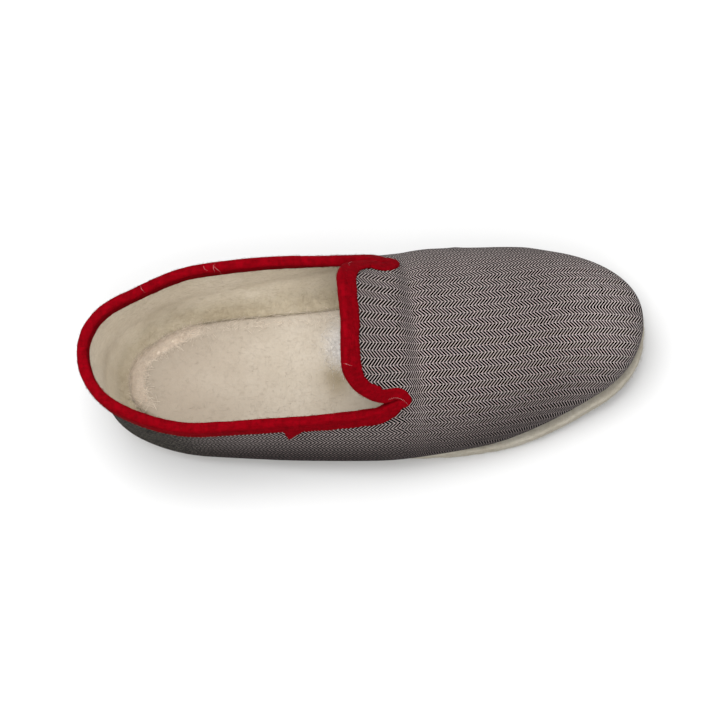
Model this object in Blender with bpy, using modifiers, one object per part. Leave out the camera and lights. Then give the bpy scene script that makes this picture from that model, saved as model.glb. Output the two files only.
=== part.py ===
"""Right-foot house slipper: felt sole, lined cloth upper with a tab, felt edge binding and wool insole.

Millimetres until the meshes are made. +X points to the toe, +Y to the inner side of the foot, +Z up.
The floor is z = 0, and the origin lies on it under the middle of the slipper's box.
"""

from typing import NamedTuple

import bmesh
import bpy
import numpy as np
from mathutils import Vector
from mathutils.geometry import delaunay_2d_cdt

MM = 0.001
LATERAL, MEDIAL = -1.0, 1.0


class Row(NamedTuple):
    """A value at one place along the slipper."""

    x: float
    value: float


class Pair(NamedTuple):
    """A value for the outer and for the inner side at one place along the slipper."""

    x: float
    lateral: float
    medial: float


# Plan of the last at its widest level: half an oval at each end, joined along the waist
HEEL_CENTRE_X, HEEL_REACH = -78.0, 48.0
TOE_CENTRE_X, TOE_REACH = 15.0, 118.0
MOST_REACH = 120.0
HALF_WIDTH = (
    Pair(-118.0, 35.5, 36.0),
    Pair(HEEL_CENTRE_X, 40.5, 41.0),
    Pair(-40.0, 45.6, 45.6),
    Pair(TOE_CENTRE_X, 50.0, 50.5),
)
END_POWER = (Row(-60.0, 2.25), Row(15.0, 2.0), Row(70.0, 2.12))
SPINE_Y = (Row(-80.0, 0.2), Row(15.0, -0.3), Row(60.0, 2.2), Row(105.0, 7.2), Row(134.0, 7.7))

# Sections of the last: ridge height and fullness; behind the tab the ridge only guides the side walls
RIDGE_HEIGHT = (
    Row(-80.0, 122.0),
    Row(-45.0, 108.0),
    Row(-8.0, 80.0),
    Row(22.0, 63.5),
    Row(60.0, 58.0),
    Row(100.0, 55.0),
    Row(134.0, 53.0),
)
SECTION_POWER = (Row(-60.0, 3.0), Row(0.0, 2.6), Row(45.0, 2.25))
CREASE_X, CREASE_DEPTH, CREASE_LENGTH = 21.0, 1.6, 5.0

# How far the collar line leans out beyond the widest line
COLLAR_LEAN = (
    Pair(-138.0, 9.8, 9.8),
    Pair(-105.0, 4.5, 1.2),
    Pair(-75.0, 0.5, 1.5),
    Pair(-40.0, -4.0, 0.0),
    Pair(-12.0, -4.5, -2.2),
    Pair(10.0, -1.5, -1.8),
    Pair(28.0, 0.0, 0.0),
)
LEAN_POWER = 1.3
LEAN_CLEAR_OF_RIDGE = 0.35
MOST_RISE = 1.4

# Sole plate
HALF_LENGTH = 134.0
SOLE_THICKNESS = 7.0
SOLE_EDGE_ROUND = 1.6
TOE_SPRING, TOE_SPRING_FROM_X, TOE_SPRING_POWER = 10.0, 55.0, 1.8
HEEL_BEVEL, HEEL_BEVEL_FROM_X = 2.0, -106.0
ARCH_RISE, ARCH_FROM_X, ARCH_TO_X = 1.6, -55.0, 22.0
SOLE_EDGE = (
    Pair(-126.0, -4.5, -4.5),
    Pair(-30.0, -4.0, -6.0),
    Pair(40.0, -0.5, -1.5),
    Pair(85.0, 4.0, 1.0),
    Pair(134.0, 2.2, 2.2),
)

# Upper wall
WALL = 2.3
SEAT_GAP = 0.3
BULGE_RISE = 9.0
SEAM_INSET = (Row(-126.0, 8.0), Row(20.0, 7.0), Row(134.0, 4.0))

# Collar line, tab and the slits beside it
COLLAR_HEIGHT = (Row(-134.0, 58.0), Row(-85.0, 52.5), Row(-35.0, 50.0), Row(15.0, 53.0))
TAB_REAR_X = -9.0
TAB_CORNER = 15.0
SLIT_X = 8.5
SLIT_RADIUS = 3.2
SLIT_SPREAD = 0.25

# Binding tape, with the tucked end that shows under its outer edge
FELT = 1.1
TAPE_DEPTH = 5.4
TAPE_GAP = 0.35
SHOULDER = 0.72
TAIL_X, TAIL_HALF_LENGTH, TAIL_DROP = -44.0, 4.8, 4.2

# Insole
INSOLE_THICKNESS = 5.0
INSOLE_CLEARANCE = 2.8
INSOLE_EDGE_ROUND = 1.4

# Stations count along the slipper, and on round the heel and the toe in fans of sections
HEEL_FAN_X, HEEL_FAN_LENGTH = -86.0, 52.0
TOE_FAN_X, TOE_FAN_LENGTH = 88.0, 62.0
FIRST_STATION = HEEL_FAN_X - HEEL_FAN_LENGTH
LAST_STATION = TOE_FAN_X + TOE_FAN_LENGTH

# Fineness of the meshes
DOME_SAMPLES, TUCK_SAMPLES = 72, 12
UPPER_STATIONS, PLATE_STATIONS = 42, 36
CLOTH_STEP = 7.5
SEAM_STEPS = (3.4, 6.8, 10.2, 14.5)
PATTERN_HALF_WIDTH = 100.0
REAR_POINTS, CORNER_POINTS, SLIT_POINTS, FRONT_POINTS, HEEL_POINTS = 6, 7, 9, 13, 27
PROBE = 0.4


def through(rows, column, x):
    """Smooth curve through one column of a table, level beyond its ends."""
    xs = np.array([row.x for row in rows])
    ys = np.array([getattr(row, column) for row in rows])
    slopes = np.gradient(ys, xs)
    slopes[0] = slopes[-1] = 0.0
    x = np.clip(np.asarray(x, float), xs[0], xs[-1])
    k = np.clip(np.searchsorted(xs, x, side="right") - 1, 0, len(xs) - 2)
    span = xs[k + 1] - xs[k]
    t = (x - xs[k]) / span
    start = (1 + 2 * t) * (1 - t) ** 2 * ys[k] + t * (1 - t) ** 2 * span * slopes[k]
    end = t * t * (3 - 2 * t) * ys[k + 1] + t * t * (t - 1) * span * slopes[k + 1]
    return start + end


def at(rows, x):
    return through(rows, "value", x)


def by_side(rows, x, side):
    return np.where(side < 0, through(rows, "lateral", x), through(rows, "medial", x))


def smooth_step(share):
    t = np.clip(share, 0.0, 1.0)
    return t * t * (3 - 2 * t)


def unit(vectors):
    return vectors / np.linalg.norm(vectors, axis=-1, keepdims=True)


# The last

def reach(x, y):
    """0 on the spine and 1 on the widest outline."""
    aside = y - at(SPINE_Y, x)
    across = np.abs(aside) / by_side(HALF_WIDTH, x, aside)
    along = np.maximum((x - TOE_CENTRE_X) / TOE_REACH, (HEEL_CENTRE_X - x) / HEEL_REACH)
    power = at(END_POWER, x)
    return (across**power + np.maximum(along, 0.0) ** power) ** (1 / power)


def sole_bottom(x):
    toe = np.clip((x - TOE_SPRING_FROM_X) / (HALF_LENGTH - TOE_SPRING_FROM_X), 0, None)
    heel = np.clip((HEEL_BEVEL_FROM_X - x) / (HALF_LENGTH + HEEL_BEVEL_FROM_X), 0, None)
    arch = np.clip((x - ARCH_FROM_X) / (ARCH_TO_X - ARCH_FROM_X), 0, 1)
    return TOE_SPRING * toe**TOE_SPRING_POWER + HEEL_BEVEL * heel**2 + ARCH_RISE * np.sin(np.pi * arch) ** 2


def sole_top(x):
    return sole_bottom(x) + SOLE_THICKNESS


def widest_height(x):
    return sole_top(x) + BULGE_RISE


def last_height(x, y):
    """Height of the last over a point of its plan."""
    low = widest_height(x)
    crease = CREASE_DEPTH * np.exp(-(((x - CREASE_X) / CREASE_LENGTH) ** 2))
    inside = np.clip(1 - reach(x, y) ** at(SECTION_POWER, x), 0, 1)
    return low + (at(RIDGE_HEIGHT, x) - crease - low) * np.sqrt(inside)


def ray(t, side):
    """Start and direction in plan of the section at station t: across, or fanned round heel and toe."""
    heel = np.clip((HEEL_FAN_X - t) / HEEL_FAN_LENGTH, 0, 1) * np.pi / 2
    toe = np.clip((t - TOE_FAN_X) / TOE_FAN_LENGTH, 0, 1) * np.pi / 2
    x = np.clip(t, HEEL_FAN_X, TOE_FAN_X)
    start = np.stack([x, at(SPINE_Y, x)], -1)
    return start, np.stack([np.sin(toe) - np.sin(heel), side * np.cos(toe + heel)], -1)


def outline(t, side):
    """Widest point of each section in plan, and its outward direction there."""
    start, way = ray(t, side)
    near, far = np.zeros(len(start)), np.full(len(start), MOST_REACH)
    for _ in range(40):
        middle = (near + far) / 2
        x, y = (start + middle[:, None] * way).T
        inside = reach(x, y) < 1
        near, far = np.where(inside, middle, near), np.where(inside, far, middle)
    point = start + near[:, None] * way
    x, y = point.T
    out = [reach(x + PROBE, y) - reach(x - PROBE, y), reach(x, y + PROBE) - reach(x, y - PROBE)]
    return point, unit(np.stack(out, -1))


def sections(t, side):
    """Points of each section from the ridge down to the seam, and their distance along it from the ridge."""
    t, side = np.broadcast_arrays(np.asarray(t, float), np.asarray(side, float))
    start, _ = ray(t, side)
    widest, out = outline(t, side)
    low = widest_height(widest[:, 0])

    share = 1 - np.linspace(1, 0, DOME_SAMPLES) ** 2
    plan = start[:, None] + (widest - start)[:, None] * share[None, :, None]
    height = last_height(plan[..., 0], plan[..., 1])
    collar = at(COLLAR_HEIGHT, widest[:, 0])
    rise = np.clip((height - low[:, None]) / (collar - low)[:, None], 0, MOST_RISE)
    away = smooth_step((share - LEAN_CLEAR_OF_RIDGE) / (1 - LEAN_CLEAR_OF_RIDGE))
    lean = by_side(COLLAR_LEAN, t, side)[:, None] * rise**LEAN_POWER * away
    dome = np.concatenate([plan + out[:, None] * lean[..., None], height[..., None]], -1)

    seam = widest - out * at(SEAM_INSET, widest[:, 0])[:, None]
    seam_height = sole_top(seam[:, 0]) + SEAT_GAP
    turn = np.linspace(np.pi / 2, 0, TUCK_SAMPLES + 1)[1:]
    tuck_plan = seam[:, None] + (widest - seam)[:, None] * np.sin(turn)[None, :, None]
    tuck_height = seam_height[:, None] + (low - seam_height)[:, None] * (1 - np.cos(turn))
    tuck = np.concatenate([tuck_plan, tuck_height[..., None]], -1)

    points = np.concatenate([dome, tuck], 1)
    steps = np.linalg.norm(np.diff(points, axis=1), axis=2)
    return points, np.concatenate([np.zeros((len(points), 1)), np.cumsum(steps, 1)], 1)


def seam_distance(t, side):
    return sections(t, side)[1][:, -1]


def at_distance(t, side, distance):
    """Point of the last at a distance from the ridge along the section at station t."""
    found = [
        [np.interp(d, along, axis) for axis in points.T]
        for points, along, d in zip(*sections(t, side), distance)
    ]
    return np.array(found)


def collar_distance(t, side):
    """Distance from the ridge at which the section at station t has come down to the collar line."""
    widest, _ = outline(t, np.full(len(t), side))
    heights = at(COLLAR_HEIGHT, widest[:, 0])
    points, along = sections(t, side)
    return np.array([np.interp(-h, -p[:, 2], s) for p, s, h in zip(points, along, heights)])


def outward(t, side, distance):
    """Outward normal of the last at a station and a distance from its ridge."""
    along = at_distance(t + PROBE, side, distance) - at_distance(t - PROBE, side, distance)
    down = at_distance(t, side, distance + PROBE) - at_distance(t, side, distance - PROBE)
    return unit(np.cross(along, down) * side[:, None])


# The cut edge of collar, slits and tab

class Edge(NamedTuple):
    """Points of the cut edge, and the way in station and distance that leads from it into the cloth."""

    t: np.ndarray
    side: np.ndarray
    distance: np.ndarray
    inward_t: np.ndarray
    inward_distance: np.ndarray

    def inside(self, depth):
        """Stations, sides and distances a depth inside the edge."""
        return self.t + depth * self.inward_t, self.side, self.distance + depth * self.inward_distance


def half_edge(side):
    """Stations and distances along one half of the cut edge, from the tab's middle round to the heel."""
    slit_low = collar_distance(np.array([SLIT_X]), side)[0]
    corner_x = TAB_REAR_X + TAB_CORNER
    flank = slit_low - 2 * SLIT_RADIUS - SLIT_SPREAD * (SLIT_X - corner_x)
    rear = [(TAB_REAR_X, d) for d in np.linspace(0, flank - TAB_CORNER, REAR_POINTS)[:-1]]
    corner = [
        (corner_x - TAB_CORNER * np.cos(turn), flank - TAB_CORNER * (1 - np.sin(turn)))
        for turn in np.linspace(0, np.pi / 2, CORNER_POINTS)
    ]
    slit = [
        (SLIT_X + SLIT_RADIUS * np.cos(turn), slit_low - SLIT_RADIUS * (1 - np.sin(turn)))
        for turn in np.linspace(-np.pi / 2, np.pi / 2, SLIT_POINTS)
    ]
    front = np.linspace(SLIT_X, TAIL_X, FRONT_POINTS)[1:]
    stations = np.append(front, np.linspace(TAIL_X, FIRST_STATION, HEEL_POINTS)[1:])
    collar = list(zip(stations, collar_distance(stations, side)))
    return np.array(rear + corner + slit + collar)


def cut_edge():
    """The whole cut edge as a closed loop, from the tab's middle round the outer side and the heel."""
    loop = []
    for side in (LATERAL, MEDIAL):
        half = half_edge(side)
        steps = unit(np.diff(half, axis=0))
        along = unit(np.concatenate([steps[:1], steps[:-1] + steps[1:], steps[-1:]]))
        inward = np.stack([along[:, 1], -along[:, 0]], -1)
        inward[0], inward[-1] = (1, 0), (0, 1)
        rows = np.column_stack([half[:, 0], np.full(len(half), side), half[:, 1], inward])
        loop.append(rows if side == LATERAL else rows[-2:0:-1])
    return Edge(*np.concatenate(loop).T)


# Meshes

def mesh_object(name, points, faces, collection, material, closed=True):
    mesh = bpy.data.meshes.new(name)
    mesh.from_pydata((np.asarray(points) * MM).tolist(), [], [tuple(map(int, face)) for face in faces])
    work = bmesh.new()
    work.from_mesh(mesh)
    bmesh.ops.remove_doubles(work, verts=work.verts, dist=1e-6)
    loose = [vertex for vertex in work.verts if not vertex.link_faces]
    bmesh.ops.delete(work, geom=loose, context="VERTS")
    if closed:
        bmesh.ops.recalc_face_normals(work, faces=work.faces)
    work.to_mesh(mesh)
    work.free()
    mesh.shade_smooth()
    mesh.materials.append(material)
    made = bpy.data.objects.new(name, mesh)
    collection.objects.link(made)
    return made


def ring_faces(rings, count, closed=False):
    """Quads between neighbouring rings of points."""
    faces = []
    for i in range(rings if closed else rings - 1):
        this, following = i * count, (i + 1) % rings * count
        for j in range(count):
            k = (j + 1) % count
            faces.append((this + j, this + k, following + k, following + j))
    return faces


def finish(name, colour, roughness):
    material = bpy.data.materials.new(name)
    material.use_nodes = True
    shader = material.node_tree.nodes["Principled BSDF"]
    shader.inputs["Base Color"].default_value = (*colour, 1)
    shader.inputs["Roughness"].default_value = roughness
    shader.inputs["Metallic"].default_value = 0.0
    return material


# Upper: a flat pattern, equally wide at every station, cut out and laid over the last

def flat(t, side, distance):
    """Place on the flat pattern, which runs from the ridge at 0 to the seam at its full half width."""
    return np.column_stack([t, side * PATTERN_HALF_WIDTH * distance / seam_distance(t, side)])


def rows_above(seam):
    """Distances from the ridge of the pattern's rows of points, close together near its seam line."""
    first = seam - np.array(SEAM_STEPS)
    return np.append(first, np.arange(first[-1] - CLOTH_STEP, 0.5 * CLOTH_STEP, -CLOTH_STEP))


def pattern_border(edge):
    """Border of the pattern: outer seam, toe line, inner seam, heel line, then the cut edge to the heel."""
    stations = np.linspace(FIRST_STATION, LAST_STATION, UPPER_STATIONS)
    heel_rim = edge.distance[edge.t.argmin()]
    heel_seam, toe_seam = seam_distance([FIRST_STATION, LAST_STATION], LATERAL)
    heel_rows = rows_above(heel_seam)
    heel_rows = heel_rows[heel_rows > heel_rim + TAPE_DEPTH + 0.5 * CLOTH_STEP]
    heel_rows = np.append(heel_rows, heel_rim + TAPE_DEPTH * np.array([1.0, 0.5, 0.0]))
    heel = PATTERN_HALF_WIDTH * heel_rows / heel_seam
    toe = PATTERN_HALF_WIDTH * rows_above(toe_seam) / toe_seam
    cut = flat(edge.t, edge.side, edge.distance)
    border = [(t, -PATTERN_HALF_WIDTH) for t in stations]
    border += [(LAST_STATION, across) for across in (*-toe, *toe[::-1])]
    border += [(t, PATTERN_HALF_WIDTH) for t in stations[::-1]]
    border += [(FIRST_STATION, across) for across in heel]
    border += [*cut[edge.side > 0], *cut[edge.side < 0][:-1]]
    border += [(FIRST_STATION, across) for across in -heel[::-1]]
    return np.array(border)


def from_border(points, start, end):
    """Distance of each point of the flat pattern from the nearest of some straight pieces of its border."""
    along = end - start
    share = ((points[:, None] - start) * along).sum(-1) / (along**2).sum(-1)
    nearest = start + np.clip(share, 0, 1)[..., None] * along
    return np.linalg.norm(points[:, None] - nearest, axis=2).min(1)


def pattern_fill(border, edge):
    """Points inside the flat pattern: two rows under the binding, and rows that follow the seam."""
    stations = np.linspace(FIRST_STATION, LAST_STATION, UPPER_STATIONS)[1:-1]
    points = [(t, 0.0) for t in stations if t <= TOE_FAN_X]
    for side in (LATERAL, MEDIAL):
        for t, seam in zip(stations, seam_distance(stations, side)):
            points += [(t, side * PATTERN_HALF_WIDTH * distance / seam) for distance in rows_above(seam)]
    points = np.array(points)
    cut = flat(edge.t, edge.side, edge.distance)
    clear = from_border(points, border, np.roll(border, -1, axis=0)) > 0.4 * SEAM_STEPS[0]
    clear &= from_border(points, cut, np.roll(cut, -1, axis=0)) > TAPE_DEPTH + 0.4 * CLOTH_STEP
    off_heel = edge.t > FIRST_STATION
    under = [flat(*edge.inside(depth))[off_heel] for depth in (TAPE_DEPTH / 2, TAPE_DEPTH)]
    return np.concatenate([points[clear], *under])


def build_upper(collection):
    edge = cut_edge()
    border = pattern_border(edge)
    pattern = np.concatenate([border, pattern_fill(border, edge)])
    sides = [(k, (k + 1) % len(border)) for k in range(len(border))]
    points, _, faces, *_ = delaunay_2d_cdt([Vector(point) for point in pattern], sides, [], 1, 1e-4)
    t, across = np.array([tuple(point) for point in points]).T
    side = np.where(across < 0, LATERAL, MEDIAL)
    laid = at_distance(t, side, np.abs(across) / PATTERN_HALF_WIDTH * seam_distance(t, side))
    material = finish("lined cloth", (0.20, 0.19, 0.19), 0.9)
    upper = mesh_object("upper", laid, faces, collection, material, closed=False)
    wall = upper.modifiers.new("wall", "SOLIDIFY")
    wall.thickness = WALL * MM
    wall.offset = -1
    return upper


# Binding: felt tape folded over the cut edge, following the wall on both faces

def build_binding(collection):
    edge = cut_edge()
    near_tail = np.clip(1 - np.abs(edge.t - TAIL_X) / TAIL_HALF_LENGTH, 0, 1)
    tail = near_tail * (edge.side < 0)
    wall = []
    for depth in (TAPE_DEPTH + TAIL_DROP * tail, TAPE_DEPTH / 2, 0.0):
        place = edge.inside(depth)
        wall.append((at_distance(*place), outward(*place)))
    top, normal = wall[-1]
    inward = unit(at_distance(*edge.inside(1.0)) - top)
    middle = top - normal * WALL / 2
    near, far = TAPE_GAP, TAPE_GAP + FELT
    shoulder = normal * (WALL / 2 + far) * SHOULDER
    corner = normal * (WALL / 2 + near)
    over = ((shoulder, SHOULDER), (0, 1), (-shoulder, SHOULDER))
    rings = [point + out * far for point, out in wall]
    rings += [middle + aside - inward * far * lift for aside, lift in over]
    rings += [point - out * (WALL + far) for point, out in wall[::-1]]
    rings += [point - out * (WALL + near) for point, out in wall]
    rings += [middle - corner - inward * near, middle + corner - inward * near]
    rings += [point + out * near for point, out in wall[::-1]]
    faces = ring_faces(len(rings), len(edge.t), closed=True)
    material = finish("red felt", (0.42, 0.0, 0.015), 0.95)
    return mesh_object("edge_binding", np.concatenate(rings), faces, collection, material)


# Sole and insole

def plate(name, edge_offset, bottom, top, edge_round, collection, material):
    """Sole-shaped plate: rings from the middle of its underside round its edge to the middle of its top."""
    stations = np.linspace(FIRST_STATION, LAST_STATION, PLATE_STATIONS)
    t = np.append(stations, stations[-2:0:-1])
    side = np.append(np.full(PLATE_STATIONS, LATERAL), np.full(PLATE_STATIONS - 2, MEDIAL))
    start, _ = ray(t, side)
    widest, out = outline(t, side)
    full = widest + out * edge_offset(widest[:, 0], side)[:, None]
    shy = full - out * edge_round
    rings = []
    for share, rim, height, lift in (
        (0.0, shy, bottom, 0.0),
        (0.5, shy, bottom, 0.0),
        (1.0, shy, bottom, 0.0),
        (1.0, full, bottom, edge_round),
        (1.0, full, top, -edge_round),
        (1.0, shy, top, 0.0),
        (0.5, shy, top, 0.0),
        (0.0, shy, top, 0.0),
    ):
        plan = start + (rim - start) * share
        rings.append(np.column_stack([plan, height(plan[:, 0]) + lift]))
    return mesh_object(name, np.concatenate(rings), ring_faces(len(rings), len(t)), collection, material)


def build_sole(collection):
    def edge_offset(x, side):
        return by_side(SOLE_EDGE, x, side)

    material = finish("sole felt", (0.62, 0.57, 0.48), 0.95)
    return plate("felt_sole", edge_offset, sole_bottom, sole_top, SOLE_EDGE_ROUND, collection, material)


def build_insole(collection):
    def edge_offset(x, _):
        return -at(SEAM_INSET, x) - INSOLE_CLEARANCE

    def bottom(x):
        return sole_top(x) + SEAT_GAP

    def top(x):
        return bottom(x) + INSOLE_THICKNESS

    material = finish("insole wool", (0.72, 0.65, 0.53), 0.95)
    return plate("insole", edge_offset, bottom, top, INSOLE_EDGE_ROUND, collection, material)


def main():
    for old in list(bpy.data.objects):
        bpy.data.objects.remove(old, do_unlink=True)
    slipper = bpy.data.collections.new("slipper")
    bpy.context.scene.collection.children.link(slipper)
    build_sole(slipper)
    build_insole(slipper)
    build_upper(slipper)
    build_binding(slipper)


main()
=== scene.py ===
"""Dresses a right-foot house slipper: woven upper, fleece lining, felt binding, wool insole and felt sole.

Lengths are millimetres until a mesh is made. +X points to the toe, +Y to the inner side of the foot, +Z up.
"""

import logging
from collections.abc import Callable
from dataclasses import dataclass
from enum import Enum
from typing import NamedTuple

import bmesh
import bpy
import numpy as np
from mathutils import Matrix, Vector, noise


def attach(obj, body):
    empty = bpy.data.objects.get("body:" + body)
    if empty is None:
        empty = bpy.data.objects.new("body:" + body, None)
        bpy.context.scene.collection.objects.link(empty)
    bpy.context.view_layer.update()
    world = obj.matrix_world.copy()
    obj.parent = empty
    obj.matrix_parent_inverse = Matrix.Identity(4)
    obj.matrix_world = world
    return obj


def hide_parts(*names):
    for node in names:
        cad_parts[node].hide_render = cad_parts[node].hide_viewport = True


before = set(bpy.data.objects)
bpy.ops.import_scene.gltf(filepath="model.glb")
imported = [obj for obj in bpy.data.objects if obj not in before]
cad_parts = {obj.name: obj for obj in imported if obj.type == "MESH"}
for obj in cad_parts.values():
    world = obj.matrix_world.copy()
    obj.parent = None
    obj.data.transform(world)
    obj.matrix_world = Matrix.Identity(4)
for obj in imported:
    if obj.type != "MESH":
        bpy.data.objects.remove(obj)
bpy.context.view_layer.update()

MM = 0.001
# The cloth's UV map, and the millimetres of cloth in one unit of it.
WEAVE_UV = "weave"
UV_MM = 100.0
# Values that pieces carry on their points, for their tints and fibres.
FLUFF = "fluff"
SHADE = "shade"
FRINGE = "fringe"
# Insole darker towards the heel.
HEEL_DARKENING = "heel_darkening"
# Pale patch on the insole beside the tab: white tufts, and painted light against the tab's shadow.
TUFT_AND_LIGHT = "tuft_and_light"
BODY = "root"

# Metres within which points are merged and edges count as collapsed.
WELD_DISTANCE = 2e-5
FLAT_DISTANCE = 1e-7

LOG = logging.getLogger("slipper")
Array = np.ndarray
Colour = tuple[float, float, float]
Span = tuple[float, float]


class Side(Enum):
    """The two long sides of the slipper, by the sign of their way across."""

    LATERAL = -1.0
    MEDIAL = 1.0


class Row(NamedTuple):
    """A value at one place along the slipper."""

    x: float
    value: float


class Pair(NamedTuple):
    """A value for the outer and for the inner side at one place along the slipper."""

    x: float
    lateral: float
    medial: float


class Sides(NamedTuple):
    """A size for the outer and for the inner side."""

    lateral: float
    medial: float

    def of(self, side: Side) -> float:
        """The size on one side."""
        return self.lateral if side is Side.LATERAL else self.medial

    def by_sign(self, signs: Array) -> Array:
        """The size on the side that each sign names."""
        return np.where(signs < 0, self.lateral, self.medial)


class Fold(NamedTuple):
    """A soft trough or ridge in the cloth, between two places of its flat pattern."""

    start_t: float
    start_across: float
    end_t: float
    end_across: float
    lift: float
    width: float


def through(rows: tuple, column: str, x: Array) -> Array:
    """Smooth curve through one column of a table, level beyond its ends.

    Args:
        rows: The table, in rising order of x.
        column: Name of the column.
        x: Places along the slipper.

    Returns:
        The curve's value at each place.
    """
    xs = np.array([row.x for row in rows])
    ys = np.array([getattr(row, column) for row in rows])
    slopes = np.gradient(ys, xs)
    slopes[0] = slopes[-1] = 0.0
    x = np.clip(np.asarray(x, float), xs[0], xs[-1])
    k = np.clip(np.searchsorted(xs, x, side="right") - 1, 0, len(xs) - 2)
    span = xs[k + 1] - xs[k]
    t = (x - xs[k]) / span
    start = (1 + 2 * t) * (1 - t) ** 2 * ys[k] + t * (1 - t) ** 2 * span * slopes[k]
    end = t * t * (3 - 2 * t) * ys[k + 1] + t * t * (t - 1) * span * slopes[k + 1]
    return start + end


def at(rows: tuple[Row, ...], x: Array) -> Array:
    """Value of a one-column table along the slipper."""
    return through(rows, "value", x)


def by_side(rows: tuple[Pair, ...], x: Array, side: Array) -> Array:
    """Value of a two-sided table along the slipper, for the side that each sign names."""
    return np.where(np.asarray(side) < 0, through(rows, "lateral", x), through(rows, "medial", x))


def smooth_step(share: Array) -> Array:
    """Eased step from 0 to 1."""
    t = np.clip(share, 0.0, 1.0)
    return t * t * (3 - 2 * t)


def unit(vectors: Array) -> Array:
    """Vectors made one long."""
    return vectors / np.maximum(np.linalg.norm(vectors, axis=-1, keepdims=True), 1e-9)


def signs_of(t: Array, side: Side) -> Array:
    """Sign of a side, once for each station."""
    return np.full(len(t), side.value)


def bowed(start: Array, bend: Array, end: Array, share: Array) -> Array:
    """Points of a bow from a start to an end, drawn towards a bend between them."""
    return (1 - share) ** 2 * start + 2 * share * (1 - share) * bend + share * share * end


class Lumps(NamedTuple):
    """Smooth noise that raises a surface: by how much, how wide a lump is, and a shift of the noise."""

    rise: float
    width: float
    seed: float

    def over(self, points: Array) -> Array:
        """Rise of the lumps.

        Args:
            points: Places in millimetres, with three numbers in the last axis.

        Returns:
            One value for each place.
        """
        flat = points.reshape(-1, 3) / self.width
        shift = Vector((self.seed, 1.7 * self.seed, 2.3 * self.seed))
        found = [noise.noise(Vector(place) + shift) for place in flat]
        return self.rise * np.array(found).reshape(points.shape[:-1])


def rough(points: Array, layers: tuple[Lumps, ...]) -> Array:
    """Rise of several layers of lumps at each place."""
    return sum(layer.over(points) for layer in layers)


class Ramp(NamedTuple):
    """An eased step from 0 to 1: where it starts, and its length, which is negative for a step that falls."""

    start: float
    length: float

    def of(self, values: Array) -> Array:
        """Height of the step at each value."""
        return smooth_step((values - self.start) / self.length)


class Spot(NamedTuple):
    """A soft oval patch in plan."""

    x: float
    y: float
    half_length: float
    half_width: float
    strength: float = 1.0

    def of(self, x: Array, y: Array) -> Array:
        """Strength of the patch at each place."""
        away = np.hypot((x - self.x) / self.half_length, (y - self.y) / self.half_width)
        return self.strength * np.exp(-(away**2))


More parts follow.
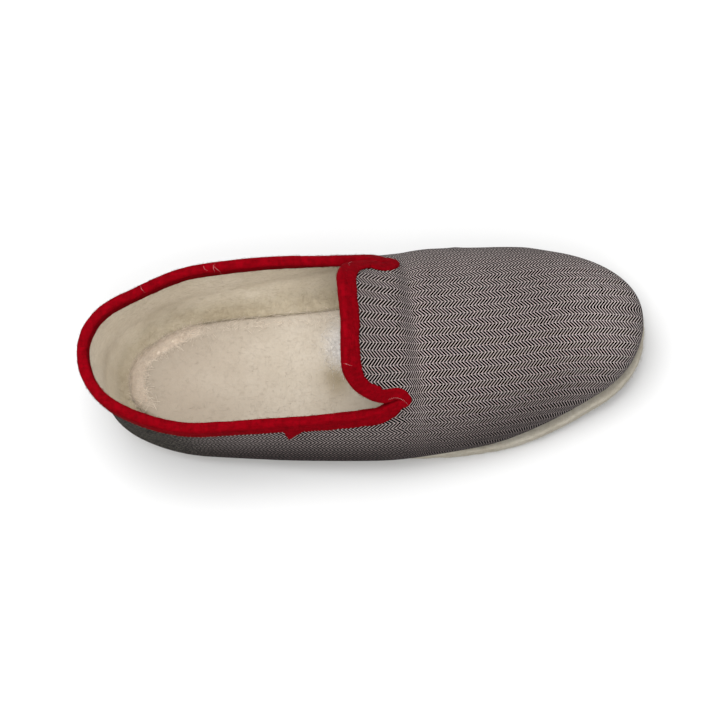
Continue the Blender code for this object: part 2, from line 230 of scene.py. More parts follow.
@dataclass(frozen=True)
class Last:
    """The form that the slipper is made over."""

    heel_centre_x: float = -78.0
    heel_reach: float = 48.0
    toe_centre_x: float = 15.0
    toe_reach: float = 118.0
    most_reach: float = 120.0
    half_width: tuple[Pair, ...] = (
        Pair(-118.0, 35.5, 36.0),
        Pair(-78.0, 40.5, 41.0),
        Pair(-40.0, 45.6, 45.6),
        Pair(15.0, 50.0, 50.5),
    )
    end_power: tuple[Row, ...] = (Row(-60.0, 2.25), Row(15.0, 2.0), Row(70.0, 2.12))
    spine_y: tuple[Row, ...] = (
        Row(-80.0, 0.2),
        Row(15.0, -0.3),
        Row(60.0, 2.2),
        Row(105.0, 7.2),
        Row(134.0, 7.7),
    )
    ridge_height: tuple[Row, ...] = (
        Row(-80.0, 122.0),
        Row(-45.0, 108.0),
        Row(-8.0, 80.0),
        Row(22.0, 63.5),
        Row(60.0, 58.0),
        Row(100.0, 55.0),
        Row(134.0, 53.0),
    )
    section_power: tuple[Row, ...] = (Row(-60.0, 3.0), Row(0.0, 2.6), Row(45.0, 2.25))
    crease_x: float = 21.0
    crease_depth: float = 1.6
    crease_length: float = 5.0
    collar_lean: tuple[Pair, ...] = (
        Pair(-138.0, 9.8, 9.8),
        Pair(-105.0, 4.5, 1.2),
        Pair(-75.0, 0.5, 1.5),
        Pair(-40.0, -4.0, 0.0),
        Pair(-12.0, -4.5, -3.0),
        Pair(10.0, -1.5, -2.8),
        Pair(28.0, 0.0, 0.0),
    )
    lean_power: float = 1.3
    lean_clear_of_ridge: float = 0.35
    most_rise: float = 1.4
    half_length: float = 134.0
    sole_thickness: float = 7.0
    toe_spring: float = 10.0
    toe_spring_from_x: float = 55.0
    toe_spring_power: float = 1.8
    heel_bevel: float = 2.0
    heel_bevel_from_x: float = -106.0
    arch_rise: float = 1.6
    arch_from_x: float = -55.0
    arch_to_x: float = 22.0
    wall: float = 2.3
    seat_gap: float = 0.3
    bulge_rise: float = 9.0
    seam_inset: tuple[Row, ...] = (Row(-126.0, 8.0), Row(20.0, 7.0), Row(134.0, 4.0))
    roll_widen: tuple[Pair, ...] = (Pair(-80.0, 0.0, 0.0), Pair(-8.0, 0.0, 6.8), Pair(30.0, 0.0, 6.8))
    collar_height: tuple[Row, ...] = (Row(-134.0, 58.0), Row(-85.0, 52.5), Row(-35.0, 50.0), Row(15.0, 53.0))
    heel_fan_x: float = -86.0
    heel_fan_length: float = 52.0
    toe_fan_x: float = 88.0
    toe_fan_length: float = 62.0
    fan_end: float = 1.05
    dome_samples: int = 150
    tuck_samples: int = 24
    halvings: int = 40
    probe: float = 0.4

    @property
    def first_station(self) -> float:
        """Station of the middle of the heel."""
        return self.heel_fan_x - self.heel_fan_length

    @property
    def last_station(self) -> float:
        """Station of the tip of the toe."""
        return self.toe_fan_x + self.toe_fan_length

    def reach(self, x: Array, y: Array) -> Array:
        """Tells how far out places in plan are.

        Args:
            x: Places along the slipper.
            y: Places across it.

        Returns:
            0 on the spine and 1 on the widest outline.
        """
        aside = y - at(self.spine_y, x)
        across = np.abs(aside) / by_side(self.half_width, x, aside)
        toe = (x - self.toe_centre_x) / self.toe_reach
        heel = (self.heel_centre_x - x) / self.heel_reach
        power = at(self.end_power, x)
        return (across**power + np.maximum(np.maximum(toe, heel), 0.0) ** power) ** (1 / power)

    def sole_bottom(self, x: Array) -> Array:
        """Height of the underside of the sole.

        Args:
            x: Places along the slipper.

        Returns:
            The height at each.
        """
        toe = np.clip((x - self.toe_spring_from_x) / (self.half_length - self.toe_spring_from_x), 0, None)
        heel = np.clip((self.heel_bevel_from_x - x) / (self.half_length + self.heel_bevel_from_x), 0, None)
        arch = np.clip((x - self.arch_from_x) / (self.arch_to_x - self.arch_from_x), 0, 1)
        bend = self.arch_rise * np.sin(np.pi * arch) ** 2
        return self.toe_spring * toe**self.toe_spring_power + self.heel_bevel * heel**2 + bend

    def sole_top(self, x: Array) -> Array:
        """Height of the top of the sole."""
        return self.sole_bottom(x) + self.sole_thickness

    def widest_height(self, x: Array) -> Array:
        """Height at which the upper is widest."""
        return self.sole_top(x) + self.bulge_rise

    def height(self, x: Array, y: Array) -> Array:
        """Height of the last.

        Args:
            x: Places along the slipper.
            y: Places across it.

        Returns:
            The height over each point of the plan.
        """
        low = self.widest_height(x)
        crease = self.crease_depth * np.exp(-(((x - self.crease_x) / self.crease_length) ** 2))
        inside = np.clip(1 - self.reach(x, y) ** at(self.section_power, x), 0, 1)
        return low + (at(self.ridge_height, x) - crease - low) * np.sqrt(inside)

    def fan(self, t: Array) -> tuple[Array, Array]:
        """Turns of the sections round the heel and round the toe.

        Args:
            t: Stations.

        Returns:
            The angles at the heel and at the toe.
        """
        heel = np.clip((self.heel_fan_x - t) / self.heel_fan_length, 0, self.fan_end) * np.pi / 2
        toe = np.clip((t - self.toe_fan_x) / self.toe_fan_length, 0, self.fan_end) * np.pi / 2
        return heel, toe

    def ray(self, t: Array, side: Array) -> tuple[Array, Array]:
        """Line of each section in plan: across, or fanned round heel and toe.

        Args:
            t: Stations.
            side: Sign of the side of each.

        Returns:
            Starts on the spine, and directions.
        """
        heel, toe = self.fan(t)
        x = np.clip(t, self.heel_fan_x, self.toe_fan_x)
        start = np.stack([x, at(self.spine_y, x)], -1)
        return start, np.stack([np.sin(toe) - np.sin(heel), side * np.cos(toe + heel)], -1)

    def outline(self, t: Array, side: Array) -> tuple[Array, Array]:
        """Widest points of the sections in plan.

        Args:
            t: Stations.
            side: Sign of the side of each.

        Returns:
            The points, and the outward direction at each.
        """
        start, way = self.ray(t, side)
        near, far = np.zeros(len(start)), np.full(len(start), self.most_reach)
        for _ in range(self.halvings):
            middle = (near + far) / 2
            x, y = (start + middle[:, None] * way).T
            inside = self.reach(x, y) < 1
            near, far = np.where(inside, middle, near), np.where(inside, far, middle)
        point = start + near[:, None] * way
        x, y = point.T
        p = self.probe
        out_x = self.reach(x + p, y) - self.reach(x - p, y)
        out_y = self.reach(x, y + p) - self.reach(x, y - p)
        return point, unit(np.stack([out_x, out_y], -1))

    def sections(self, t: Array, side: Array) -> tuple[Array, Array]:
        """Sections of the last from its ridge down to the seam.

        Args:
            t: Stations.
            side: Sign of the side of each.

        Returns:
            Points of each section, and their distances along it from the ridge.
        """
        t, side = np.broadcast_arrays(np.asarray(t, float), np.asarray(side, float))
        start, _ = self.ray(t, side)
        widest, out = self.outline(t, side)
        low = self.widest_height(widest[:, 0])

        share = 1 - np.linspace(1, 0, self.dome_samples) ** 2
        plan = start[:, None] + (widest - start)[:, None] * share[None, :, None]
        height = self.height(plan[..., 0], plan[..., 1])
        collar = at(self.collar_height, widest[:, 0])
        rise = np.clip((height - low[:, None]) / (collar - low)[:, None], 0, self.most_rise)
        away = smooth_step((share - self.lean_clear_of_ridge) / (1 - self.lean_clear_of_ridge))
        lean = by_side(self.collar_lean, t, side)[:, None] * rise**self.lean_power * away
        dome = np.concatenate([plan + out[:, None] * lean[..., None], height[..., None]], -1)

        seam = widest - out * at(self.seam_inset, widest[:, 0])[:, None]
        seam_height = self.sole_top(seam[:, 0]) + self.seat_gap
        turn = np.linspace(np.pi / 2, 0, self.tuck_samples + 1)[1:]
        tuck_plan = seam[:, None] + (widest - seam)[:, None] * np.sin(turn)[None, :, None]
        tuck_height = seam_height[:, None] + (low - seam_height)[:, None] * (1 - np.cos(turn))
        tuck = np.concatenate([tuck_plan, tuck_height[..., None]], -1)

        points = np.concatenate([dome, tuck], 1)
        steps = np.linalg.norm(np.diff(points, axis=1), axis=2)
        return points, np.concatenate([np.zeros((len(points), 1)), np.cumsum(steps, 1)], 1)

    def seam_distance(self, t: Array, side: Array) -> Array:
        """Length of each section from the ridge to the seam."""
        return self.sections(t, side)[1][:, -1]

    def widest_distance(self, t: Array, side: Array) -> Array:
        """Length of each section from the ridge to its widest point."""
        return self.sections(t, side)[1][:, self.dome_samples - 1]

    def lay(self, t: Array, side: Array, distance: Array) -> Array:
        """Points of the last.

        Args:
            t: Stations, one for each section or one for each distance.
            side: Sign of the side of each section.
            distance: Distances from the ridge, one or several for each section.

        Returns:
            The points, with three numbers in the last axis.
        """
        if np.ndim(t) == 2:
            signs = np.broadcast_to(np.asarray(side)[:, None], t.shape)
            return self.lay(t.ravel(), signs.ravel(), distance.ravel()).reshape(*t.shape, 3)
        points, along = self.sections(t, side)
        found = [
            np.stack([np.interp(d, s, axis) for axis in p.T], -1)
            for p, s, d in zip(points, along, distance)
        ]
        return np.array(found)

    def collar_distance(self, t: Array, side: Array) -> Array:
        """Place of the collar line on each section.

        Args:
            t: Stations.
            side: Sign of the side of each.

        Returns:
            Distances from the ridge.
        """
        widest, _ = self.outline(t, side)
        heights = at(self.collar_height, widest[:, 0])
        points, along = self.sections(t, side)
        return np.array([np.interp(-h, -p[:, 2], s) for p, s, h in zip(points, along, heights)])

    def outward(self, t: Array, side: Array, distance: Array) -> Array:
        """Outward normals of the last.

        Args:
            t: Stations, one for each section or one for each distance.
            side: Sign of the side of each section.
            distance: Distances from the ridge.

        Returns:
            The normals, with three numbers in the last axis.
        """
        p = self.probe
        distance = np.maximum(distance, p)
        along = self.lay(t + p, side, distance) - self.lay(t - p, side, distance)
        down = self.lay(t, side, distance + p) - self.lay(t, side, distance - p)
        sign = np.asarray(side).reshape(-1, *[1] * (along.ndim - 1))
        return unit(np.cross(along, down) * sign)


class EdgeLoop(NamedTuple):
    """Points of the cut edge, and the way in station and distance that leads from it into the cloth."""

    t: Array
    side: Array
    distance: Array
    inward_t: Array
    inward_distance: Array

    def inside(self, depth: Array | float) -> tuple[Array, Array, Array]:
        """Stations, sides and distances a depth inside the edge."""
        return self.t + depth * self.inward_t, self.side, self.distance + depth * self.inward_distance


@dataclass(frozen=True)
class CutEdge:
    """The cut edge of the cloth round the tab, the slits beside it and the collar."""

    last: Last
    tab_rear_x: float = -9.0
    tab_corner: float = 14.0
    tab_slant: Sides = Sides(0.08, 0.0)
    tab_drop: Sides = Sides(0.9, 0.0)
    slit_x: Sides = Sides(12.0, 11.2)
    slit_radius: float = 1.6
    slit_bend: Sides = Sides(2.6, 3.4)
    bend_from_x: float = 0.0
    flank_gap: float = 0.6
    step: float = 0.8
    corner_samples: int = 28
    flank_samples: int = 9
    slit_samples: int = 20

    def tip_x(self, side: Side) -> float:
        """Station of the closed end of a slit."""
        return self.slit_x.of(side) + self.slit_radius

    def tip_seam(self, side: Side) -> float:
        """Distance from the ridge of the seam below the closed end of a slit."""
        return self.last.seam_distance(np.array([self.tip_x(side)]), np.array([side.value]))[0]

    @property
    def corner_x(self) -> float:
        """Station at which the tab's rounded corners end."""
        return self.tab_rear_x + self.tab_corner

    def collar_line(self, t: Array, side: Side) -> Array:
        """Line of the collar's edge, which bends up to the slit's end.

        Args:
            t: Stations.
            side: The side.

        Returns:
            Distances from the ridge.
        """
        slit_x = self.slit_x.of(side)
        bend = smooth_step((t - self.bend_from_x) / (slit_x - self.bend_from_x))
        straight = self.last.collar_distance(np.minimum(t, slit_x), signs_of(t, side))
        return straight - self.slit_bend.of(side) * bend

    def slit_low(self, side: Side) -> float:
        """Distance from the ridge of a slit's lower edge at its end."""
        return float(self.collar_line(np.array([self.slit_x.of(side)]), side)[0])

    def flank(self, side: Side) -> float:
        """Distance from the ridge of the tab's flank where its rounded corner ends."""
        straight = self.slit_low(side) + self.slit_bend.of(side)
        return straight - 2 * self.slit_radius - self.flank_gap + self.tab_drop.of(side)

    def flank_line(self, t: Array, side: Side) -> Array:
        """Line of the tab's flank between its corner and the slit's end.

        Args:
            t: Stations.
            side: The side.

        Returns:
            Distances from the ridge.
        """
        start, end = self.flank(side), self.tip_distance(side) - self.slit_radius
        share = np.clip((t - self.corner_x) / (self.slit_x.of(side) - self.corner_x), 0, 1)
        return start + (end - start) * smooth_step(share)

    def tip_distance(self, side: Side) -> float:
        """Distance from the ridge of a slit's closed end."""
        return self.slit_low(side) - self.slit_radius

    def half_round(self, t: Array, side: Side) -> Array:
        """Half the slit's opening at stations in its rounded end."""
        past = np.clip(t - self.slit_x.of(side), 0, None)
        return np.sqrt(np.clip(self.slit_radius**2 - past**2, 0, None))

    def slanted(self, t: Array, distance: Array, side: Side) -> Array:
        """Stations of the tab moved back by the slant of its rear edge."""
        fade = np.clip((self.slit_x.of(side) - t) / (self.slit_x.of(side) - self.tab_rear_x), 0, 1)
        return t - self.tab_slant.of(side) * distance * fade

    def tab_edge(self, t: Array, side: Side) -> Array:
        """Line of the tab's edge, up to the slit's end.

        Args:
            t: Stations.
            side: The side.

        Returns:
            Distances from the ridge.
        """
        flank = self.flank(side)
        share = np.clip((self.corner_x - t) / self.tab_corner, 0, 1)
        corner = flank - self.tab_corner * (1 - np.sqrt(1 - share**2))
        line = self.flank_line(t, side)
        end = self.tip_distance(side) - self.half_round(t, side)
        return np.where(t < self.corner_x, corner, np.where(t < self.slit_x.of(side), line, end))

    def collar_edge(self, t: Array, side: Side) -> Array:
        """Distance from the ridge of the collar's edge at stations up to the slit's end."""
        low = self.tip_distance(side) + self.half_round(t, side)
        return np.where(t < self.slit_x.of(side), self.collar_line(t, side), low)

    def half(self, side: Side) -> Array:
        """One half of the cut edge, from the tab's middle round to the heel.

        Args:
            side: The side.

        Returns:
            A station and a distance from the ridge for each point.
        """
        flank, slit_x = self.flank(side), self.slit_x.of(side)
        rear_count = int((flank - self.tab_corner) / self.step)
        rear = [(self.tab_rear_x, d) for d in np.linspace(0, flank - self.tab_corner, rear_count)[:-1]]
        corner = [
            (self.corner_x - self.tab_corner * np.cos(a), flank - self.tab_corner * (1 - np.sin(a)))
            for a in np.linspace(0, np.pi / 2, self.corner_samples)
        ]
        beside = np.linspace(self.corner_x, slit_x, self.flank_samples)[1:-1]
        straight = np.column_stack([beside, self.flank_line(beside, side)])
        tab = np.concatenate([rear, corner, straight])
        tab[:, 0] = self.slanted(tab[:, 0], tab[:, 1], side)
        middle = self.tip_distance(side)
        slit = [
            (slit_x + self.slit_radius * np.cos(a), middle + self.slit_radius * np.sin(a))
            for a in np.linspace(-np.pi / 2, np.pi / 2, self.slit_samples)
        ]
        count = int((slit_x - self.last.first_station) / self.step)
        stations = np.linspace(slit_x, self.last.first_station, count)[1:]
        distances = self.collar_line(stations, side)
        return np.concatenate([tab, slit, np.column_stack([stations, distances])])

    def loop(self) -> EdgeLoop:
        """The whole cut edge.

        Returns:
            A closed loop, from the tab's middle round the outer side and the heel.
        """
        rows = []
        for side in Side:
            half = self.half(side)
            steps = unit(np.diff(half, axis=0))
            along = unit(np.concatenate([steps[:1], steps[:-1] + steps[1:], steps[-1:]]))
            inward = np.stack([along[:, 1], -along[:, 0]], -1)
            inward[0], inward[-1] = (1, 0), (0, 1)
            found = np.column_stack([half[:, 0], np.full(len(half), side.value), half[:, 1], inward])
            rows.append(found if side is Side.LATERAL else found[-2:0:-1])
        return EdgeLoop(*np.concatenate(rows).T)


class Patch(NamedTuple):
    """A grid of cloth: stations down its rows, distances from the ridge along them."""

    t: Array
    side: Side
    distance: Array

    @property
    def signs(self) -> Array:
        """Sign of the side for each station."""
        return signs_of(self.t, self.side)

    @property
    def station_grid(self) -> Array:
        """Station of each point of the grid."""
        return self.t if self.t.ndim == 2 else np.broadcast_to(self.t[:, None], self.distance.shape)


@dataclass(frozen=True)
class ClothPattern:
    """The upper's cloth as grids of stations and distances, in one piece from tab to heel."""

    last: Last
    edge: CutEdge
    station_step: float = 1.3
    upper_rows: int = 40
    lower_rows: int = 40
    slit_samples: int = 7
    corner_samples: int = 16
    flank_samples: int = 4
    same: float = 1e-3
    digits: int = 4

    def stations(self, low: float, high: float) -> Array:
        """Even stations between two of them."""
        return np.linspace(low, high, max(2, int(round((high - low) / self.station_step)) + 1))

    def slit_end(self, side: Side) -> Array:
        """Stations closed up towards a slit's rounded end."""
        turns = np.linspace(0, np.pi / 2, self.slit_samples)
        return self.edge.slit_x.of(side) + self.edge.slit_radius * np.sin(turns)

    def tab_stations(self) -> Array:
        """Stations that both sides share.

        Returns:
            Stations from the tab's rear edge to the further slit's end.
        """
        edge = self.edge
        turns = np.linspace(0, np.pi / 2, self.corner_samples)
        corner = edge.tab_rear_x + edge.tab_corner * (1 - np.cos(turns))
        outer, inner = self.slit_end(Side.LATERAL), self.slit_end(Side.MEDIAL)
        flank = np.linspace(edge.corner_x, min(outer[0], inner[0]), self.flank_samples)[1:-1]
        return np.unique(np.concatenate([corner, flank, outer, inner]).round(self.digits))

    def grid(self, t: Array, side: Side, low: Array, high: Array, rows: int) -> Patch:
        """Patch between two distances at each station."""
        share = np.linspace(0, 1, rows + 1)[None, :]
        return Patch(t, side, low[:, None] * (1 - share) + high[:, None] * share)

    def divide(self, t: Array, side: Side) -> Array:
        """Distance from the ridge of the line that runs on ahead of the slit."""
        share = self.edge.tip_distance(side) / self.edge.tip_seam(side)
        return share * self.last.seam_distance(t, signs_of(t, side))

    def quarter(self, side: Side) -> Patch:
        """Side wall, from the heel to the slit's end.

        Args:
            side: The side.

        Returns:
            Its patch.
        """
        end = self.slit_end(side)
        t = np.append(self.stations(self.last.first_station, end[0])[:-1], end)
        seam = self.last.seam_distance(t, signs_of(t, side))
        return self.grid(t, side, self.edge.collar_edge(t, side), seam, self.lower_rows)

    def tab(self, side: Side) -> Patch:
        """Half of the tab, from its rear edge to the slit's end.

        Args:
            side: The side.

        Returns:
            Its patch, with a station for each point.
        """
        t = self.tab_stations()
        t = t[t < self.edge.tip_x(side) + self.same]
        flat = self.grid(t, side, np.zeros(len(t)), self.edge.tab_edge(t, side), self.upper_rows)
        moved = self.edge.slanted(flat.station_grid, flat.distance, side)
        return Patch(moved, side, flat.distance)

    def vamp(self, side: Side) -> tuple[Patch, Patch]:
        """Side of the vamp, from the slit's end to the toe.

        Args:
            side: The side.

        Returns:
            The patches of its upper and of its lower half.
        """
        t = self.tab_stations()
        ahead = self.stations(t[-1], self.last.last_station)[1:]
        t = np.append(t[t > self.edge.tip_x(side) - self.same], ahead)
        divide = self.divide(t, side)
        seam = self.last.seam_distance(t, signs_of(t, side))
        upper = self.grid(t, side, np.zeros(len(t)), divide, self.upper_rows)
        return upper, self.grid(t, side, divide, seam, self.lower_rows)

    def patches(self) -> list[Patch]:
        """Cuts the cloth.

        Returns:
            All of its patches.
        """
        found = []
        for side in Side:
            found += [self.quarter(side), self.tab(side), *self.vamp(side)]
        return found


@dataclass(frozen=True)
class WeaveMap:
    """Place of every point of the cloth in its weave: lengthwise and crosswise, in millimetres."""

    last: Last
    edge: CutEdge
    tab_stretch: float = 0.94
    tab_open: float = 0.12
    tab_open_from_x: float = 22.0
    tab_open_length: float = 24.0
    crease_x: float = 22.0
    crease_width: float = 3.0
    crease_take_up: float = 1.5
    wall_stretch: float = 0.90
    samples: int = 36

    def run(self, from_x: Array, from_y: Array, x: Array, y: Array) -> Array:
        """Lengths over the last, straight in plan.

        Args:
            from_x: Starts along the slipper.
            from_y: Starts across it.
            x: Ends along the slipper.
            y: Ends across it.

        Returns:
            The length from each start to its end.
        """
        share = 1 - np.linspace(1, 0, self.samples) ** 2
        xs = from_x[..., None] + (x - from_x)[..., None] * share
        ys = from_y[..., None] + (y - from_y)[..., None] * share
        steps = np.hypot(np.diff(xs, axis=-1), np.diff(ys, axis=-1))
        return np.hypot(steps, np.diff(self.last.height(xs, ys), axis=-1)).sum(-1)

    def levelling(self, t: Array, side: Side) -> Array:
        """Extra length of the side wall's sections over the one at the slit, so that rows follow the seam."""
        return self.last.seam_distance(t, signs_of(t, side)) - self.edge.tip_seam(side)

    def wall_run(self, patch: Patch) -> Array:
        """Run of the side wall along its outline.

        Args:
            patch: The wall's patch.

        Returns:
            Lengthwise place of each station, which ends at the slit.
        """
        outline, _ = self.last.outline(patch.t, patch.signs)
        steps = np.linalg.norm(np.diff(outline, axis=0), axis=1)
        run = self.wall_stretch * (np.append(0, np.cumsum(steps)) - steps.sum())
        return run + self.edge.tip_x(patch.side)

    def place(self, patch: Patch) -> Array:
        """Places of a patch in the weave.

        Args:
            patch: The patch.

        Returns:
            Lengthwise and crosswise place of each point.
        """
        last, t = self.last, patch.station_grid
        ends = last.widest_distance(t[:, 0], patch.signs)[:, None]
        dome = np.minimum(patch.distance, ends)
        past = patch.distance - dome
        points = last.lay(patch.t, patch.signs, dome)
        x, y = points[..., 0], points[..., 1]
        _, toe = last.fan(t)
        over_toe = self.run(x, at(last.spine_y, x), x, y)
        across = np.where(t > last.toe_fan_x, over_toe, dome) + past * np.cos(toe)
        if t.min() < last.heel_fan_x:
            along = np.broadcast_to(self.wall_run(patch)[:, None], across.shape)
            across = across - self.levelling(patch.t, patch.side)[:, None]
        else:
            ball = np.full(x.shape, last.toe_centre_x)
            along = ball + np.where(x < ball, -self.tab_stretch, 1.0) * self.run(ball, y, x, y)
            along = along + past * np.sin(toe)
            along = along + self.crease_take_up * np.tanh((x - self.crease_x) / self.crease_width)
            opened = smooth_step((self.tab_open_from_x - x) / self.tab_open_length)
            across = across * (1 - self.tab_open * opened)
        return np.stack([along, patch.side.value * across], -1)


class Wire:
    """A shader socket that takes part in Python expressions, each of which adds its Math node."""

    def __init__(self, sheet: "NodeSheet", socket: bpy.types.NodeSocket) -> None:
        """Wraps an output of a node."""
        self.sheet = sheet
        self.socket = socket

    def also(self, output: int | str) -> "Wire":
        """Another output of the same node."""
        return Wire(self.sheet, self.socket.node.outputs[output])

    def maths(self, operation: str, *operands: "Wire | float") -> "Wire":
        """Output of a new Math node."""
        sockets = dict(enumerate(operands))
        return self.sheet.add("ShaderNodeMath", {"operation": operation}, sockets)

    def __add__(self, other: "Wire | float") -> "Wire":
        """Sum."""
        return self.maths("ADD", self, other)

    __radd__ = __add__

    def __sub__(self, other: "Wire | float") -> "Wire":
        """Difference."""
        return self.maths("SUBTRACT", self, other)

    def __rsub__(self, other: float) -> "Wire":
        """Difference from a number."""
        return self.maths("SUBTRACT", other, self)

    def __mul__(self, other: "Wire | float") -> "Wire":
        """Product."""
        return self.maths("MULTIPLY", self, other)

    __rmul__ = __mul__

    def __truediv__(self, other: "Wire | float") -> "Wire":
        """Quotient."""
        return self.maths("DIVIDE", self, other)

    def __rtruediv__(self, other: float) -> "Wire":
        """Quotient of a number."""
        return self.maths("DIVIDE", other, self)

    def floor(self) -> "Wire":
        """Whole part."""
        return self.maths("FLOOR", self)

    def fraction(self) -> "Wire":
        """Part after the point."""
        return self.maths("FRACT", self)

    def size(self) -> "Wire":
        """Value without its sign."""
        return self.maths("ABSOLUTE", self)

    def least(self, other: "Wire | float") -> "Wire":
        """Smaller of two values."""
        return self.maths("MINIMUM", self, other)

    def step(self, low: float, high: float) -> "Wire":
        """Eased step from 0 at one value to 1 at another."""
        settings = {"interpolation_type": "SMOOTHSTEP"}
        return self.sheet.add("ShaderNodeMapRange", settings, {"Value": self, 1: low, 2: high})


class NodeSheet:
    """The nodes of one tree."""

    def __init__(self, tree: bpy.types.NodeTree) -> None:
        """Starts on a tree."""
        self.nodes = tree.nodes
        self.links = tree.links

    def add(
        self,
        kind: str,
        settings: dict[str, object] | None = None,
        sockets: dict[int | str, object] | None = None,
        output: int | str = 0,
    ) -> Wire:
        """Adds a node.

        Args:
            kind: The node's type.
            settings: Its settings, set first.
            sockets: Values or wires for its inputs.
            output: Which output is wanted.

        Returns:
            The output as a wire.
        """
        node = self.nodes.new(kind)
        for name, value in (settings or {}).items():
            setattr(node, name, value)
        for name, value in (sockets or {}).items():
            if isinstance(value, Wire):
                self.links.new(value.socket, node.inputs[name])
            else:
                node.inputs[name].default_value = value
        return Wire(self, node.outputs[output])


class FinishSheet(NodeSheet):
    """The nodes of one finish, round one Principled shader."""

    def __init__(self, name: str, constants: dict[str, object]) -> None:
        """Starts a material.

        Args:
            name: The material's name.
            constants: Values for the shader's own sockets.
        """
        self.material = bpy.data.materials.new(name)
        self.material.use_nodes = True
        super().__init__(self.material.node_tree)
        self.shader = self.nodes["Principled BSDF"]
        for socket, value in constants.items():
            self.shader.inputs[socket].default_value = value

    def feed(self, socket: str, wire: Wire) -> None:
        """Links a wire to one of the shader's sockets."""
        self.links.new(wire.socket, self.shader.inputs[socket])

    def object_place(self) -> Wire:
        """Place in the object, in metres."""
        return self.add("ShaderNodeTexCoord", output="Object")

    def part(self, place: Wire, axis: int) -> Wire:
        """One number of a place: 0 along, 1 across or 2 up."""
        return self.add("ShaderNodeSeparateXYZ", None, {0: place}, output=axis)

    def stretched(self, place: Wire, scale: tuple[float, float, float], turn: float = 0.0) -> Wire:
        """Place scaled along the axes, after a turn about the vertical."""
        sockets = {"Vector": place, "Rotation": (0.0, 0.0, turn), "Scale": scale}
        return self.add("ShaderNodeMapping", None, sockets)

    def noise(self, place: Wire, scale: float, detail: float = 3.0, rough: float = 0.55) -> Wire:
        """Noise between 0 and 1."""
        sockets = {"Vector": place, "Scale": scale, "Detail": detail, "Roughness": rough}
        return self.add("ShaderNodeTexNoise", None, sockets)

    def blend(self, share: Wire | float, first: Wire | Colour, second: Wire | Colour) -> Wire:
        """Mix of two colours.

        Args:
            share: Share of the second.
            first: A colour, or a wire that carries one.
            second: Another.

        Returns:
            The mixed colour.
        """
        first = first if isinstance(first, Wire) else (*first, 1.0)
        second = second if isinstance(second, Wire) else (*second, 1.0)
        return self.add("ShaderNodeMix", {"data_type": "RGBA"}, {0: share, 6: first, 7: second}, output=2)

    def relief(self, height: Wire, strength: float, depth: float) -> None:
        """Feeds a height to the shader's normal.

        Args:
            height: The height, about 0 to 1.
            strength: Strength of the bump.
            depth: Its depth in millimetres.
        """
        sockets = {"Height": height, "Strength": strength, "Distance": depth * MM}
        self.feed("Normal", self.add("ShaderNodeBump", None, sockets))


def darker(colour: Colour, share: float) -> Colour:
    """A share of a colour's brightness."""
    return tuple(share * part for part in colour)


